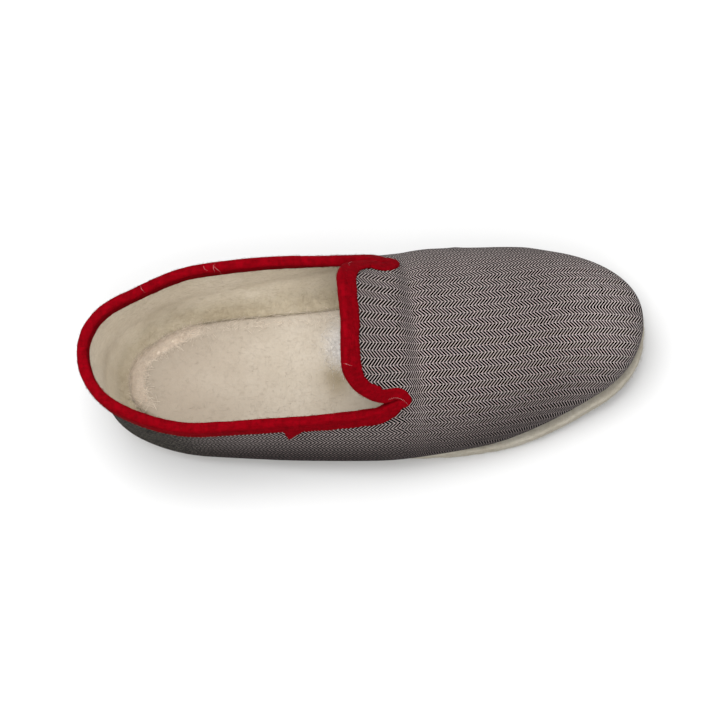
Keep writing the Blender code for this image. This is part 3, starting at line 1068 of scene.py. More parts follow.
@dataclass(frozen=True)
class HerringboneCloth:
    """Wool cloth with rows of slanted black and off-white lines that turn at each row.

    The zones along and above the slipper run from no effect to full, in metres.
    """

    row_width: float = 3.3
    line_period: float = 1.66
    slant: float = 0.95
    black: Colour = (0.0008, 0.0006, 0.0006)
    dull_black: Colour = (0.004, 0.003, 0.003)
    pale: Colour = (0.435, 0.372, 0.360)
    worn_share: float = 0.85
    # Painted light: paler yarn at the toe.
    lit_toe_pale: Colour = (0.63, 0.55, 0.535)
    lit_toe_share: float = 0.7
    # Painted shade: darker greenish-grey yarn at the heel.
    shaded_heel_pale: Colour = (0.15, 0.134, 0.106)
    heel_speck: float = 0.25
    # Painted shade: darker yarn low on the walls.
    shaded_low_pale: Colour = (0.055, 0.032, 0.031)
    low_speck: float = 0.3
    nap: Colour = (0.12, 0.105, 0.10)
    nap_share: float = 0.3
    nap_zone: Span = (0.5, 0.8)
    speck_zone: Span = (0.42, 0.58)
    black_share: float = 0.77
    softness: float = 0.05
    gap: float = 0.025
    wander_scale: float = 60.0
    row_wander: float = 0.8
    line_wander: float = 0.3
    jitter_scale: float = 900.0
    line_jitter: float = 0.12
    worn_scale: float = 25.0
    nap_scale: float = 2600.0
    speck_scale: float = 750.0
    low_shade_zone: Span = (0.046, 0.016)
    low_shade_share: float = 0.65
    low_dull: float = 0.5
    waist_zone: Span = (0.040, -0.010)
    waist_more: float = 0.25
    ball_zone: Span = (0.050, 0.100)
    ball_less: float = 0.3
    heel_shade_zone: Span = (-0.060, -0.105)
    heel_dull: float = 0.4
    lit_toe_zone: Span = (0.080, 0.125)
    pale_rough: float = 0.95
    black_smooth: float = 0.1
    ridge_rise: float = 0.6
    row_rise: float = 0.3
    row_zone: Span = (0.0, 0.25)
    nap_rise: float = 0.25
    bump: float = 0.4
    depth: float = 0.3

    def material(self) -> bpy.types.Material:
        """Builds the finish.

        Returns:
            The material.
        """
        sheet = FinishSheet("herringbone cloth", {"Roughness": 0.9, "Specular IOR Level": 0.08})
        weave = sheet.add("ShaderNodeUVMap", {"uv_map": WEAVE_UV})
        along = sheet.part(weave, 0) * UV_MM
        across = sheet.part(weave, 1) * UV_MM
        place = sheet.object_place()
        wander = sheet.noise(place, self.wander_scale, 1.0) - 0.5
        jitter = sheet.noise(place, self.jitter_scale, 1.0) - 0.5

        rows = (across + wander * self.row_wander) / self.row_width
        share = rows.fraction()
        turned = (rows.floor() / 2.0).fraction() * 4.0 - 1.0
        lean = turned * (share - 0.5) * (self.row_width * self.slant / self.line_period)
        phase = along / self.line_period + lean + wander * self.line_wander + jitter * self.line_jitter
        ridge = ((phase.fraction() - 0.5) * 2.0).size()
        line = ridge.step(self.black_share - self.softness, self.black_share + self.softness)
        edge = share.least(1.0 - share)
        dash = (1.0 - line) * edge.step(0.0, self.gap)

        fuzz = sheet.noise(place, self.nap_scale, 2.0)
        sheet.feed("Base Color", self.colour(sheet, place, dash, fuzz))
        sheet.feed("Roughness", self.pale_rough - dash * self.black_smooth)
        row = edge.step(*self.row_zone) * self.row_rise
        sheet.relief(ridge * self.ridge_rise + row + fuzz * self.nap_rise, self.bump, self.depth)
        return sheet.material

    def colour(self, sheet: FinishSheet, place: Wire, dash: Wire, fuzz: Wire) -> Wire:
        """Colours the lines, with painted shade that makes them darker and duller low down and at the heel,
        and painted light that makes them paler at the toe.

        Args:
            sheet: The finish's nodes.
            place: Place in the object.
            dash: 1 on the black lines.
            fuzz: The nap's noise.

        Returns:
            The colour of the cloth.
        """
        x = sheet.part(place, 0)
        height = sheet.part(place, 2)
        # Painted shade: the lines get darker and duller low on the walls, more at the waist and less by the
        # ball, and at the heel; painted light makes the toe paler.
        waist = x.step(*self.waist_zone) * self.waist_more
        ball = x.step(*self.ball_zone) * self.ball_less
        low = height.step(*self.low_shade_zone) * (self.low_shade_share + waist - ball)
        heel = x.step(*self.heel_shade_zone)
        speck = sheet.noise(place, self.speck_scale, 2.0).step(*self.speck_zone)
        worn = sheet.noise(place, self.worn_scale, 3.0)
        pale = sheet.blend(worn, self.pale, darker(self.pale, self.worn_share))
        pale = sheet.blend(x.step(*self.lit_toe_zone) * self.lit_toe_share, pale, self.lit_toe_pale)
        shaded_low_pale = sheet.blend(speck, self.shaded_low_pale, darker(self.shaded_low_pale, self.low_speck))
        pale = sheet.blend(low, pale, shaded_low_pale)
        shaded_heel_pale = sheet.blend(speck, self.shaded_heel_pale, darker(self.shaded_heel_pale, self.heel_speck))
        pale = sheet.blend(heel, pale, shaded_heel_pale)
        pale = sheet.blend(fuzz.step(*self.nap_zone) * self.nap_share, pale, self.nap)
        dull = low.least(self.low_dull) + heel * self.heel_dull
        black = sheet.blend(dull, self.black, self.dull_black)
        return sheet.blend(dash, pale, black)


@dataclass(frozen=True)
class WoolFinish:
    """Felt or fleece: matted fibres with soft clouds of colour, tinted by values that the piece carries."""

    name: str
    light: Colour
    dark: Colour
    gaps: Colour
    tints: tuple[tuple[str, Colour], ...] = ()
    gap_share: float = 0.45
    gap_zone: Span = (0.62, 0.32)
    cloud_scale: float = 60.0
    cloud_zone: Span = (0.3, 0.7)
    fibre_scale: float = 700.0
    fibre_rough: float = 0.7
    stretch: float = 0.35
    turns: Span = (0.5, -0.4)
    tint_least: float = 0.75
    least_rough: float = 0.88
    cloud_rise: float = 0.3
    depth: float = 0.5
    strength: float = 0.6
    sheen: float = 0.0

    def material(self) -> bpy.types.Material:
        """Builds the finish.

        Returns:
            The material.
        """
        constants = {"Roughness": 0.95, "Sheen Weight": self.sheen, "Specular IOR Level": 0.02}
        sheet = FinishSheet(self.name, constants)
        place = sheet.object_place()
        clouds = sheet.noise(place, self.cloud_scale, 4.0).step(*self.cloud_zone)
        along = sheet.stretched(place, (self.stretch, 1.0, 1.0), self.turns[0])
        across = sheet.stretched(place, (1.0, self.stretch, 1.0), self.turns[1])
        strands = sheet.noise(along, self.fibre_scale, 3.0, self.fibre_rough)
        crossed = sheet.noise(across, self.fibre_scale, 3.0, self.fibre_rough)
        matted = strands * 0.5 + crossed * 0.5
        tone = sheet.blend(clouds, self.light, self.dark)
        for name, colour in self.tints:
            share = sheet.add("ShaderNodeAttribute", {"attribute_name": name}, output="Fac")
            tone = sheet.blend(share * (self.tint_least + clouds * (1.0 - self.tint_least)), tone, colour)
        gaps = matted.step(*self.gap_zone) * self.gap_share
        sheet.feed("Base Color", sheet.blend(gaps, tone, self.gaps))
        sheet.feed("Roughness", self.least_rough + matted * (1.0 - self.least_rough))
        sheet.relief(matted + clouds * self.cloud_rise, self.strength, self.depth)
        return sheet.material


@dataclass(frozen=True)
class FibreFinish:
    """Loose wool fibres."""

    name: str
    colour: Colour
    other: Colour
    # Painted shade: a darker colour for fibres low down, between two heights.
    low: Colour | None = None
    low_shade_from: float = 22.0
    low_shade_to: float = 11.5
    mix_scale: float = 400.0
    mix_zone: Span = (0.35, 0.65)

    def material(self) -> bpy.types.Material:
        """Builds the finish, with another colour for low fibres where it has one, as painted shade.

        Returns:
            The material.
        """
        sheet = FinishSheet(self.name, {"Roughness": 0.9, "Specular IOR Level": 0.05})
        place = sheet.object_place()
        mixed = sheet.noise(place, self.mix_scale, 2.0).step(*self.mix_zone)
        tone = sheet.blend(mixed, self.colour, self.other)
        if self.low:
            height = sheet.part(place, 2)
            tone = sheet.blend(height.step(self.low_shade_from * MM, self.low_shade_to * MM), tone, self.low)
        sheet.feed("Base Color", tone)
        return sheet.material


@dataclass(frozen=True)
class Finishes:
    """All finishes of the slipper."""

    cloth: bpy.types.Material
    fleece: bpy.types.Material
    binding: bpy.types.Material
    insole: bpy.types.Material
    sole: bpy.types.Material
    red_fibre: bpy.types.Material
    fleece_fibre: bpy.types.Material
    insole_fibre: bpy.types.Material
    rim_fibre: bpy.types.Material
    tuft_fibre: bpy.types.Material
    sole_fibre: bpy.types.Material
    lint: bpy.types.Material

    @classmethod
    def make(cls) -> "Finishes":
        """Builds them all."""
        return cls(
            cloth=HerringboneCloth().material(),
            fleece=WoolFinish(
                "cream fleece",
                (0.74, 0.67, 0.555),
                (0.69, 0.615, 0.49),
                (0.50, 0.43, 0.315),
                tints=((SHADE, (0.285, 0.237, 0.162)),),
                sheen=0.15,
            ).material(),
            binding=WoolFinish(
                "red felt",
                (0.190, 0.0004, 0.004),
                (0.155, 0.0003, 0.003),
                (0.065, 0.0, 0.001),
                gap_share=0.6,
                cloud_scale=180.0,
                fibre_scale=600.0,
            ).material(),
            insole=WoolFinish(
                "insole wool",
                (0.40, 0.354, 0.293),
                (0.37, 0.324, 0.263),
                (0.28, 0.239, 0.187),
                gap_share=0.25,
                tints=(
                    # Darker towards the heel.
                    (HEEL_DARKENING, (0.295, 0.250, 0.200)),
                    (SHADE, (0.16, 0.12, 0.055)),
                    (FRINGE, (0.69, 0.59, 0.487)),
                    # Paler beside the tab: white tufts, and painted light against the tab's shadow.
                    (TUFT_AND_LIGHT, (0.62, 0.60, 0.585)),
                ),
            ).material(),
            sole=WoolFinish(
                "sole felt", (0.43, 0.40, 0.34), (0.37, 0.34, 0.28), (0.24, 0.21, 0.165)
            ).material(),
            red_fibre=FibreFinish("red fibres", (0.21, 0.001, 0.005), (0.13, 0.0, 0.003)).material(),
            # The fleece fibres' low colour is painted shade, like the fleece's fold.
            fleece_fibre=FibreFinish(
                "fleece fibres", (0.70, 0.64, 0.535), (0.60, 0.535, 0.425), low=(0.32, 0.268, 0.19)
            ).material(),
            insole_fibre=FibreFinish("insole fibres", (0.42, 0.37, 0.305), (0.35, 0.30, 0.243)).material(),
            rim_fibre=FibreFinish("rim fibres", (0.78, 0.685, 0.575), (0.66, 0.565, 0.465)).material(),
            tuft_fibre=FibreFinish("white tufts", (0.68, 0.655, 0.635), (0.58, 0.555, 0.53)).material(),
            sole_fibre=FibreFinish("sole fibres", (0.46, 0.43, 0.37), (0.37, 0.34, 0.28)).material(),
            lint=FibreFinish("pale lint", (0.52, 0.38, 0.37), (0.37, 0.20, 0.20)).material(),
        )


def added(name: str, data: bpy.types.ID) -> bpy.types.Object:
    """Puts a new object in the scene.

    Args:
        name: Its name.
        data: Its mesh, lamp or camera.

    Returns:
        The object.
    """
    made = bpy.data.objects.new(name, data)
    bpy.context.scene.collection.objects.link(made)
    return made


def piece_from(name: str, points: Array, faces: list, material: bpy.types.Material) -> bpy.types.Object:
    """Makes a smooth piece from points in millimetres.

    Args:
        name: Name of the piece.
        points: Points, with three numbers in the last axis.
        faces: Corners of each face.
        material: Its finish.

    Returns:
        The piece, linked to the scene.
    """
    mesh = bpy.data.meshes.new(name)
    mesh.from_pydata((np.asarray(points).reshape(-1, 3) * MM).tolist(), [], faces)
    mesh.shade_smooth()
    mesh.materials.append(material)
    return added(name, mesh)


def weld(piece: bpy.types.Object, outward: bool = False) -> None:
    """Merges a piece's doubled points and drops the faces that collapse.

    Args:
        piece: The piece.
        outward: Whether to turn a closed piece's faces outwards.
    """
    work = bmesh.new()
    work.from_mesh(piece.data)
    bmesh.ops.remove_doubles(work, verts=work.verts, dist=WELD_DISTANCE)
    bmesh.ops.dissolve_degenerate(work, edges=work.edges, dist=FLAT_DISTANCE)
    if outward:
        bmesh.ops.recalc_face_normals(work, faces=work.faces)
    work.to_mesh(piece.data)
    work.free()


def grid_faces(rows: int, columns: int, first: int, flipped: bool) -> list[tuple[int, ...]]:
    """Quads of a grid of points.

    Args:
        rows: Points down the grid.
        columns: Points along it.
        first: Number of its first point.
        flipped: Whether the faces are turned round.

    Returns:
        The corners of each quad.
    """
    faces = []
    for i in range(rows - 1):
        for j in range(columns - 1):
            a = first + i * columns + j
            face = (a, a + 1, a + columns + 1, a + columns)
            faces.append(face[::-1] if flipped else face)
    return faces


def ring_faces(rings: int, count: int, closed: bool = False) -> list[tuple[int, ...]]:
    """Quads between neighbouring rings of points.

    Args:
        rings: How many rings.
        count: Points in each.
        closed: Whether the last ring joins the first.

    Returns:
        The corners of each quad.
    """
    faces = []
    for i in range(rings if closed else rings - 1):
        this, following = i * count, (i + 1) % rings * count
        for j in range(count):
            k = (j + 1) % count
            faces.append((this + j, this + k, following + k, following + j))
    return faces


class Quilt:
    """Points and faces of a sheet, gathered patch by patch."""

    def __init__(self) -> None:
        """Starts with nothing."""
        self.points: list[Array] = []
        self.faces: list[tuple[int, ...]] = []
        self.count = 0

    def add(self, laid: Array, flipped: bool) -> None:
        """Adds a patch.

        Args:
            laid: Its grid of points.
            flipped: Whether its faces are turned round.
        """
        rows, columns = laid.shape[:2]
        self.faces += grid_faces(rows, columns, self.count, flipped)
        self.points.append(laid.reshape(-1, 3))
        self.count += rows * columns

    def piece(self, name: str, material: bpy.types.Material) -> bpy.types.Object:
        """The sheet as a piece."""
        return piece_from(name, np.concatenate(self.points), self.faces, material)


def thicken(piece: bpy.types.Object, thickness: float) -> None:
    """Gives a sheet its wall, on the inner side of its faces.

    Args:
        piece: The sheet.
        thickness: Thickness of the wall in millimetres.
    """
    wall = piece.modifiers.new("wall", "SOLIDIFY")
    wall.thickness = thickness * MM
    wall.offset = -1


def set_values(piece: bpy.types.Object, name: str, values: Array) -> None:
    """Writes a named value at each point of a piece."""
    layer = piece.data.attributes.new(name, "FLOAT", "POINT")
    layer.data.foreach_set("value", np.ascontiguousarray(values, np.float32).ravel())


def settle(piece: bpy.types.Object, slot: str, *nodes: str) -> None:
    """Puts a finished piece on the slipper's body.

    Args:
        piece: The piece.
        slot: Not used.
        nodes: Nodes of the part that it stands for.
    """
    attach(piece, BODY)
    if nodes:
        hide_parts(*nodes)
    LOG.info("%s: %d faces", piece.name, len(piece.data.polygons))


@dataclass(frozen=True)
class FibreField:
    """Short fibres scattered over a piece by Geometry Nodes."""

    name: str
    density: float
    length: float
    thickness: float
    lean: float
    seed: int
    bend: float = 0.5
    mask: str = FLUFF
    bend_at: float = 0.6
    rings: int = 2
    sides: int = 3
    spin: tuple[float, float, float] = (0.3, 0.2, 3.2)
    sizes: Span = (0.5, 1.3)

    def fibre(self, sheet: NodeSheet, inputs: Wire) -> Wire:
        """One bent fibre, 1 long, as a thin tube.

        Args:
            sheet: The tree's nodes.
            inputs: The tree's inputs.

        Returns:
            The tube.
        """
        tip = sheet.add("ShaderNodeCombineXYZ", None, {0: inputs.also("Bend"), 2: 1.0})
        bow = {"Start": (0.0, 0.0, 0.0), "Middle": (0.0, 0.0, self.bend_at), "End": tip}
        strand = sheet.add("GeometryNodeCurveQuadraticBezier", None, {"Resolution": self.rings, **bow})
        circle = {"Resolution": self.sides, "Radius": inputs.also("Thickness")}
        section = sheet.add("GeometryNodeCurvePrimitiveCircle", None, circle)
        return sheet.add("GeometryNodeCurveToMesh", None, {"Curve": strand, "Profile Curve": section})

    def tree(self, material: bpy.types.Material) -> bpy.types.NodeTree:
        """Builds the nodes, with named inputs for the fibres' sizes.

        Args:
            material: The fibres' finish.

        Returns:
            The tree.
        """
        tree = bpy.data.node_groups.new(self.name, "GeometryNodeTree")
        face = tree.interface
        face.new_socket("Geometry", in_out="INPUT", socket_type="NodeSocketGeometry")
        for name in ("Density", "Length", "Thickness", "Lean", "Bend"):
            face.new_socket(name, in_out="INPUT", socket_type="NodeSocketFloat")
        face.new_socket("Seed", in_out="INPUT", socket_type="NodeSocketInt")
        face.new_socket("Geometry", in_out="OUTPUT", socket_type="NodeSocketGeometry")

        sheet = NodeSheet(tree)
        inputs = sheet.add("NodeGroupInput")
        seed = inputs.also("Seed")
        mask = sheet.add("GeometryNodeInputNamedAttribute", {"data_type": "FLOAT"}, {"Name": self.mask})
        points = sheet.add(
            "GeometryNodeDistributePointsOnFaces",
            {"distribute_method": "RANDOM"},
            {"Mesh": inputs, "Density": mask * inputs.also("Density"), "Seed": seed},
        )
        spin = sheet.add(
            "FunctionNodeRandomValue",
            {"data_type": "FLOAT_VECTOR"},
            {0: tuple(-turn for turn in self.spin), 1: self.spin, "Seed": seed},
        )
        lean = sheet.add("ShaderNodeCombineXYZ", None, {1: inputs.also("Lean")})
        angles = sheet.add("ShaderNodeVectorMath", {"operation": "ADD"}, {0: spin, 1: lean})
        turned = sheet.add(
            "FunctionNodeRotateRotation",
            {"rotation_space": "LOCAL"},
            {0: points.also("Rotation"), 1: sheet.add("FunctionNodeEulerToRotation", None, {0: angles})},
        )
        least, most = self.sizes
        size = sheet.add(
            "FunctionNodeRandomValue", {"data_type": "FLOAT"}, {2: least, 3: most, "Seed": seed}, output=1
        )
        stand = sheet.add(
            "GeometryNodeInstanceOnPoints",
            None,
            {
                "Points": points,
                "Instance": self.fibre(sheet, inputs),
                "Rotation": turned,
                "Scale": size * inputs.also("Length"),
            },
        )
        real = sheet.add("GeometryNodeRealizeInstances", None, {"Geometry": stand})
        dressed = sheet.add("GeometryNodeSetMaterial", None, {"Geometry": real, "Material": material})
        tree.links.new(dressed.socket, tree.nodes.new("NodeGroupOutput").inputs[0])
        return tree

    def grow(self, surface: bpy.types.Object, material: bpy.types.Material, slot: str) -> bpy.types.Object:
        """Grows the fibres on a piece, as one plain mesh.

        Args:
            surface: The piece, with the mask's values on its points.
            material: The fibres' finish.
            slot: A slot name, passed on to settle.

        Returns:
            The fibres.
        """
        tree = self.tree(material)
        field = added(self.name + "_field", surface.data.copy())
        grown = field.modifiers.new(self.name, "NODES")
        grown.node_group = tree
        values = {
            "Density": self.density,
            "Length": self.length * MM,
            "Thickness": self.thickness / self.length,
            "Lean": self.lean,
            "Bend": self.bend,
            "Seed": self.seed,
        }
        for socket in tree.interface.items_tree:
            if socket.in_out == "INPUT" and socket.name in values:
                grown[socket.identifier] = values[socket.name]
        graph = bpy.context.evaluated_depsgraph_get()
        mesh = bpy.data.meshes.new_from_object(field.evaluated_get(graph))
        mesh.name = self.name
        bpy.data.objects.remove(field, do_unlink=True)
        fibres = added(self.name, mesh)
        settle(fibres, slot)
        return fibres


@dataclass(frozen=True)
class Upper:
    """The woven cloth upper with its fleece lining."""

    last: Last
    edge: CutEdge
    cloth_thickness: float = 1.0
    cloth_lumps: Lumps = Lumps(0.25, 22.0, 3.0)
    lining_thickness: float = 0.9
    lining_lumps: tuple[Lumps, ...] = (Lumps(0.30, 9.0, 1.0), Lumps(0.18, 4.0, 2.0))
    lining_dip: float = -0.3
    lining_swell: float = 0.6
    least_wall: float = 1.0
    roll_rise: float = 5.0
    roll_inset: float = 4.6
    roll_end: float = 2.6
    roll_fullness: float = 1.5
    roll_ease: float = 0.2
    roll_rows: int = 12
    least_drop: float = 1.0
    least_fall: float = 0.5
    fold_shade: float = 0.15
    wall_shade: Ramp = Ramp(0.6, 0.4)
    roll_shade: Ramp = Ramp(0.10, 0.75)
    roll_depth: float = 0.5
    # A soft patch of painted shade low inside the heel, on the inner side.
    heel_shade_patch: float = 0.42
    heel_shade_x: float = -92.0
    heel_shade_length: float = 18.0
    heel_shade_at: float = 1.13
    heel_shade_width: float = 0.22
    fluff_to_x: float = -2.0
    fluff_depth: Ramp = Ramp(5.6, 8.0)
    swell: tuple[Pair, ...] = (
        Pair(20.0, 0.0, 0.0),
        Pair(60.0, 1.3, 0.0),
        Pair(90.0, 2.2, 0.0),
        Pair(125.0, 3.4, 0.6),
        Pair(150.0, 1.0, 1.0),
    )
    swell_height: float = 10.0
    lining_step: float = 1.6
    lining_upper_rows: int = 30
    lining_lower_rows: int = 26
    folds: tuple[Fold, ...] = (
        Fold(23.5, -38.0, 22.5, 38.0, -0.8, 2.6),
        Fold(16.0, -34.0, 15.0, 34.0, 0.9, 4.5),
        Fold(31.0, -36.0, 30.0, 36.0, 0.4, 4.0),
        Fold(16.0, -52.0, 30.0, -55.0, -0.5, 2.6),
        Fold(19.0, 50.0, 32.0, 53.0, -0.5, 2.6),
        Fold(36.0, 56.0, 80.0, 52.0, 1.2, 11.0),
        Fold(48.0, 58.0, 52.0, 62.0, 0.4, 3.0),
        Fold(-30.0, -78.0, -70.0, -80.0, -0.5, 6.0),
    )

    def relief(self, patch: Patch) -> Array:
        """Rise of the cloth's folds above the last.

        Args:
            patch: A patch of the cloth.

        Returns:
            The rise at each of its points.
        """
        t = patch.station_grid
        across = patch.side.value * patch.distance
        rise = np.zeros(t.shape)
        for fold in self.folds:
            way = np.array([fold.end_t - fold.start_t, fold.end_across - fold.start_across])
            share = ((t - fold.start_t) * way[0] + (across - fold.start_across) * way[1]) / (way @ way)
            share = np.clip(share, 0, 1)
            off_t = t - fold.start_t - share * way[0]
            off_across = across - fold.start_across - share * way[1]
            rise += fold.lift * np.exp(-(off_t**2 + off_across**2) / fold.width**2)
        widest = self.last.widest_distance(t[:, 0], patch.signs)[:, None]
        swell = by_side(self.swell, t[:, 0], patch.signs)[:, None]
        return rise + swell * np.exp(-(((patch.distance - widest) / self.swell_height) ** 2))

    def build_cloth(self, finishes: Finishes) -> bpy.types.Object:
        """Builds the outer cloth.

        Args:
            finishes: All finishes.

        Returns:
            The cloth.
        """
        weave = WeaveMap(self.last, self.edge)
        quilt, places = Quilt(), []
        for patch in ClothPattern(self.last, self.edge).patches():
            laid = self.last.lay(patch.t, patch.signs, patch.distance)
            normal = self.last.outward(patch.t, patch.signs, patch.distance)
            soft = self.relief(patch) + self.cloth_lumps.over(laid)
            quilt.add(laid + normal * soft[..., None], patch.side is Side.MEDIAL)
            places.append(weave.place(patch).reshape(-1, 2))
        cloth = quilt.piece("upper_cloth", finishes.cloth)
        layer = cloth.data.uv_layers.new(name=WEAVE_UV)
        corners = np.empty(len(cloth.data.loops), np.int32)
        cloth.data.loops.foreach_get("vertex_index", corners)
        layer.data.foreach_set("uv", (np.concatenate(places)[corners] / UV_MM).astype(np.float32).ravel())
        weld(cloth)
        thicken(cloth, self.cloth_thickness)
        settle(cloth, "upper", "upper")
        return cloth

    def inner_face(self, patch: Patch, distance: Array) -> Array:
        """Points of the wall's inner face, at distances from the ridge."""
        laid = self.last.lay(patch.t, patch.signs, distance)
        return laid - self.last.outward(patch.t, patch.signs, distance) * self.last.wall

    @property
    def roll_shares(self) -> Array:
        """Shares of the way over the roll, one for each of its rows."""
        return np.linspace(0, 1, self.roll_rows + 1)[1:]

    def roll(self, patch: Patch, wall: Array) -> Array:
        """Fleece that rounds in from the foot of the wall to the insole.

        Args:
            patch: A patch of the cloth that reaches the sole.
            wall: Points of the fleece on its wall.

        Returns:
            The points of the roll's rows.
        """
        last, start = self.last, wall[:, -1]
        outline, out = last.outline(patch.t, patch.signs)
        inset = at(last.seam_inset, outline[:, 0]) + self.roll_inset
        inset = inset + by_side(last.roll_widen, outline[:, 0], patch.signs)
        plan = outline - out * inset[:, None]
        landing = np.column_stack([plan, last.sole_top(plan[:, 0]) + last.seat_gap + self.roll_end])
        run = unit(start - wall[:, -2])
        drop = np.maximum(start[:, 2] - landing[:, 2] - self.roll_fullness, self.least_drop)
        corner = start + run * (drop / np.maximum(-run[:, 2], self.least_fall))[:, None]
        corner = corner + self.roll_ease * ((start + landing) / 2 - corner)
        return bowed(start[:, None], corner[:, None], landing[:, None], self.roll_shares[:, None])

    def lining_shade(self, patch: Patch, share: Array) -> Array:
        """Shade of the fleece in its fold, and of a soft patch of painted shade inside the heel.

        Args:
            patch: A patch of the cloth that reaches the sole.
            share: Share of the way down the wall, for each of its rows.

        Returns:
            The shade at each point of the wall and the roll.
        """
        wall = self.fold_shade * self.wall_shade.of(share)
        roll = self.fold_shade + (1 - self.fold_shade) * self.roll_shade.of(self.roll_shares)
        depth = np.append(share, 1 + self.roll_depth * self.roll_shares)
        heel_shade_patch = self.heel_shade_patch * np.exp(-(((patch.t - self.heel_shade_x) / self.heel_shade_length) ** 2))
        heel_shade_patch = heel_shade_patch[:, None] * np.exp(-(((depth - self.heel_shade_at) / self.heel_shade_width) ** 2))
        return np.clip(np.append(wall, roll) + heel_shade_patch * (patch.side is Side.MEDIAL), 0, 1)

    def lining_points(self, patch: Patch, low: bool) -> tuple[Array, Array]:
        """Points of the lining's visible face on a patch of the cloth.

        Args:
            patch: The patch.
            low: Whether it reaches the sole, so that the fleece rounds in beside the insole.

        Returns:
            The points, in the patch's grid, with the roll's rows added where it is low, and their shade.
        """
        if not low:
            return self.inner_face(patch, patch.distance), np.zeros(patch.distance.shape)
        top = patch.distance[:, 0]
        widest = self.last.widest_distance(patch.t, patch.signs)
        bottom = np.maximum(widest - self.roll_rise, top + self.least_wall)
        share = np.linspace(0, 1, patch.distance.shape[1])
        wall = self.inner_face(patch, top[:, None] * (1 - share) + bottom[:, None] * share)
        return np.concatenate([wall, self.roll(patch, wall)], 1), self.lining_shade(patch, share)

    def build_lining(self, finishes: Finishes) -> bpy.types.Object:
        """Builds the fleece inside the upper.

        Args:
            finishes: All finishes.

        Returns:
            The fleece.
        """
        rows = self.lining_upper_rows, self.lining_lower_rows
        pattern = ClothPattern(self.last, self.edge, self.lining_step, *rows)
        quilt, shades, fluff = Quilt(), [], []
        for side in Side:
            upper, lower = pattern.vamp(side)
            patches = (pattern.quarter(side), True), (pattern.tab(side), False), (upper, False), (lower, True)
            for patch, low in patches:
                laid, shade = self.lining_points(patch, low)
                depth = np.linalg.norm(laid - laid[:, :1], axis=-1)
                fluff.append((low * self.fluff_depth.of(depth) * (laid[..., 0] < self.fluff_to_x)).ravel())
                quilt.add(laid, side is Side.LATERAL)
                shades.append(shade.ravel())
        lining = quilt.piece("fleece_lining", finishes.fleece)
        set_values(lining, SHADE, np.concatenate(shades))
        set_values(lining, FLUFF, np.concatenate(fluff))
        weld(lining)
        self.soften(lining)
        thicken(lining, self.lining_thickness)
        settle(lining, "upper")
        return lining

    def soften(self, lining: bpy.types.Object) -> None:
        """Gives the fleece its soft lumps, along its own normals.

        Args:
            lining: The fleece.
        """
        mesh = lining.data
        points = np.empty(len(mesh.vertices) * 3)
        mesh.vertices.foreach_get("co", points)
        points = points.reshape(-1, 3)
        normals = np.empty(len(mesh.vertices) * 3)
        mesh.vertices.foreach_get("normal", normals)
        rise = np.clip(rough(points / MM, self.lining_lumps), self.lining_dip, self.lining_swell)
        points = points + normals.reshape(-1, 3) * (rise * MM)[:, None]
        mesh.vertices.foreach_set("co", points.ravel())


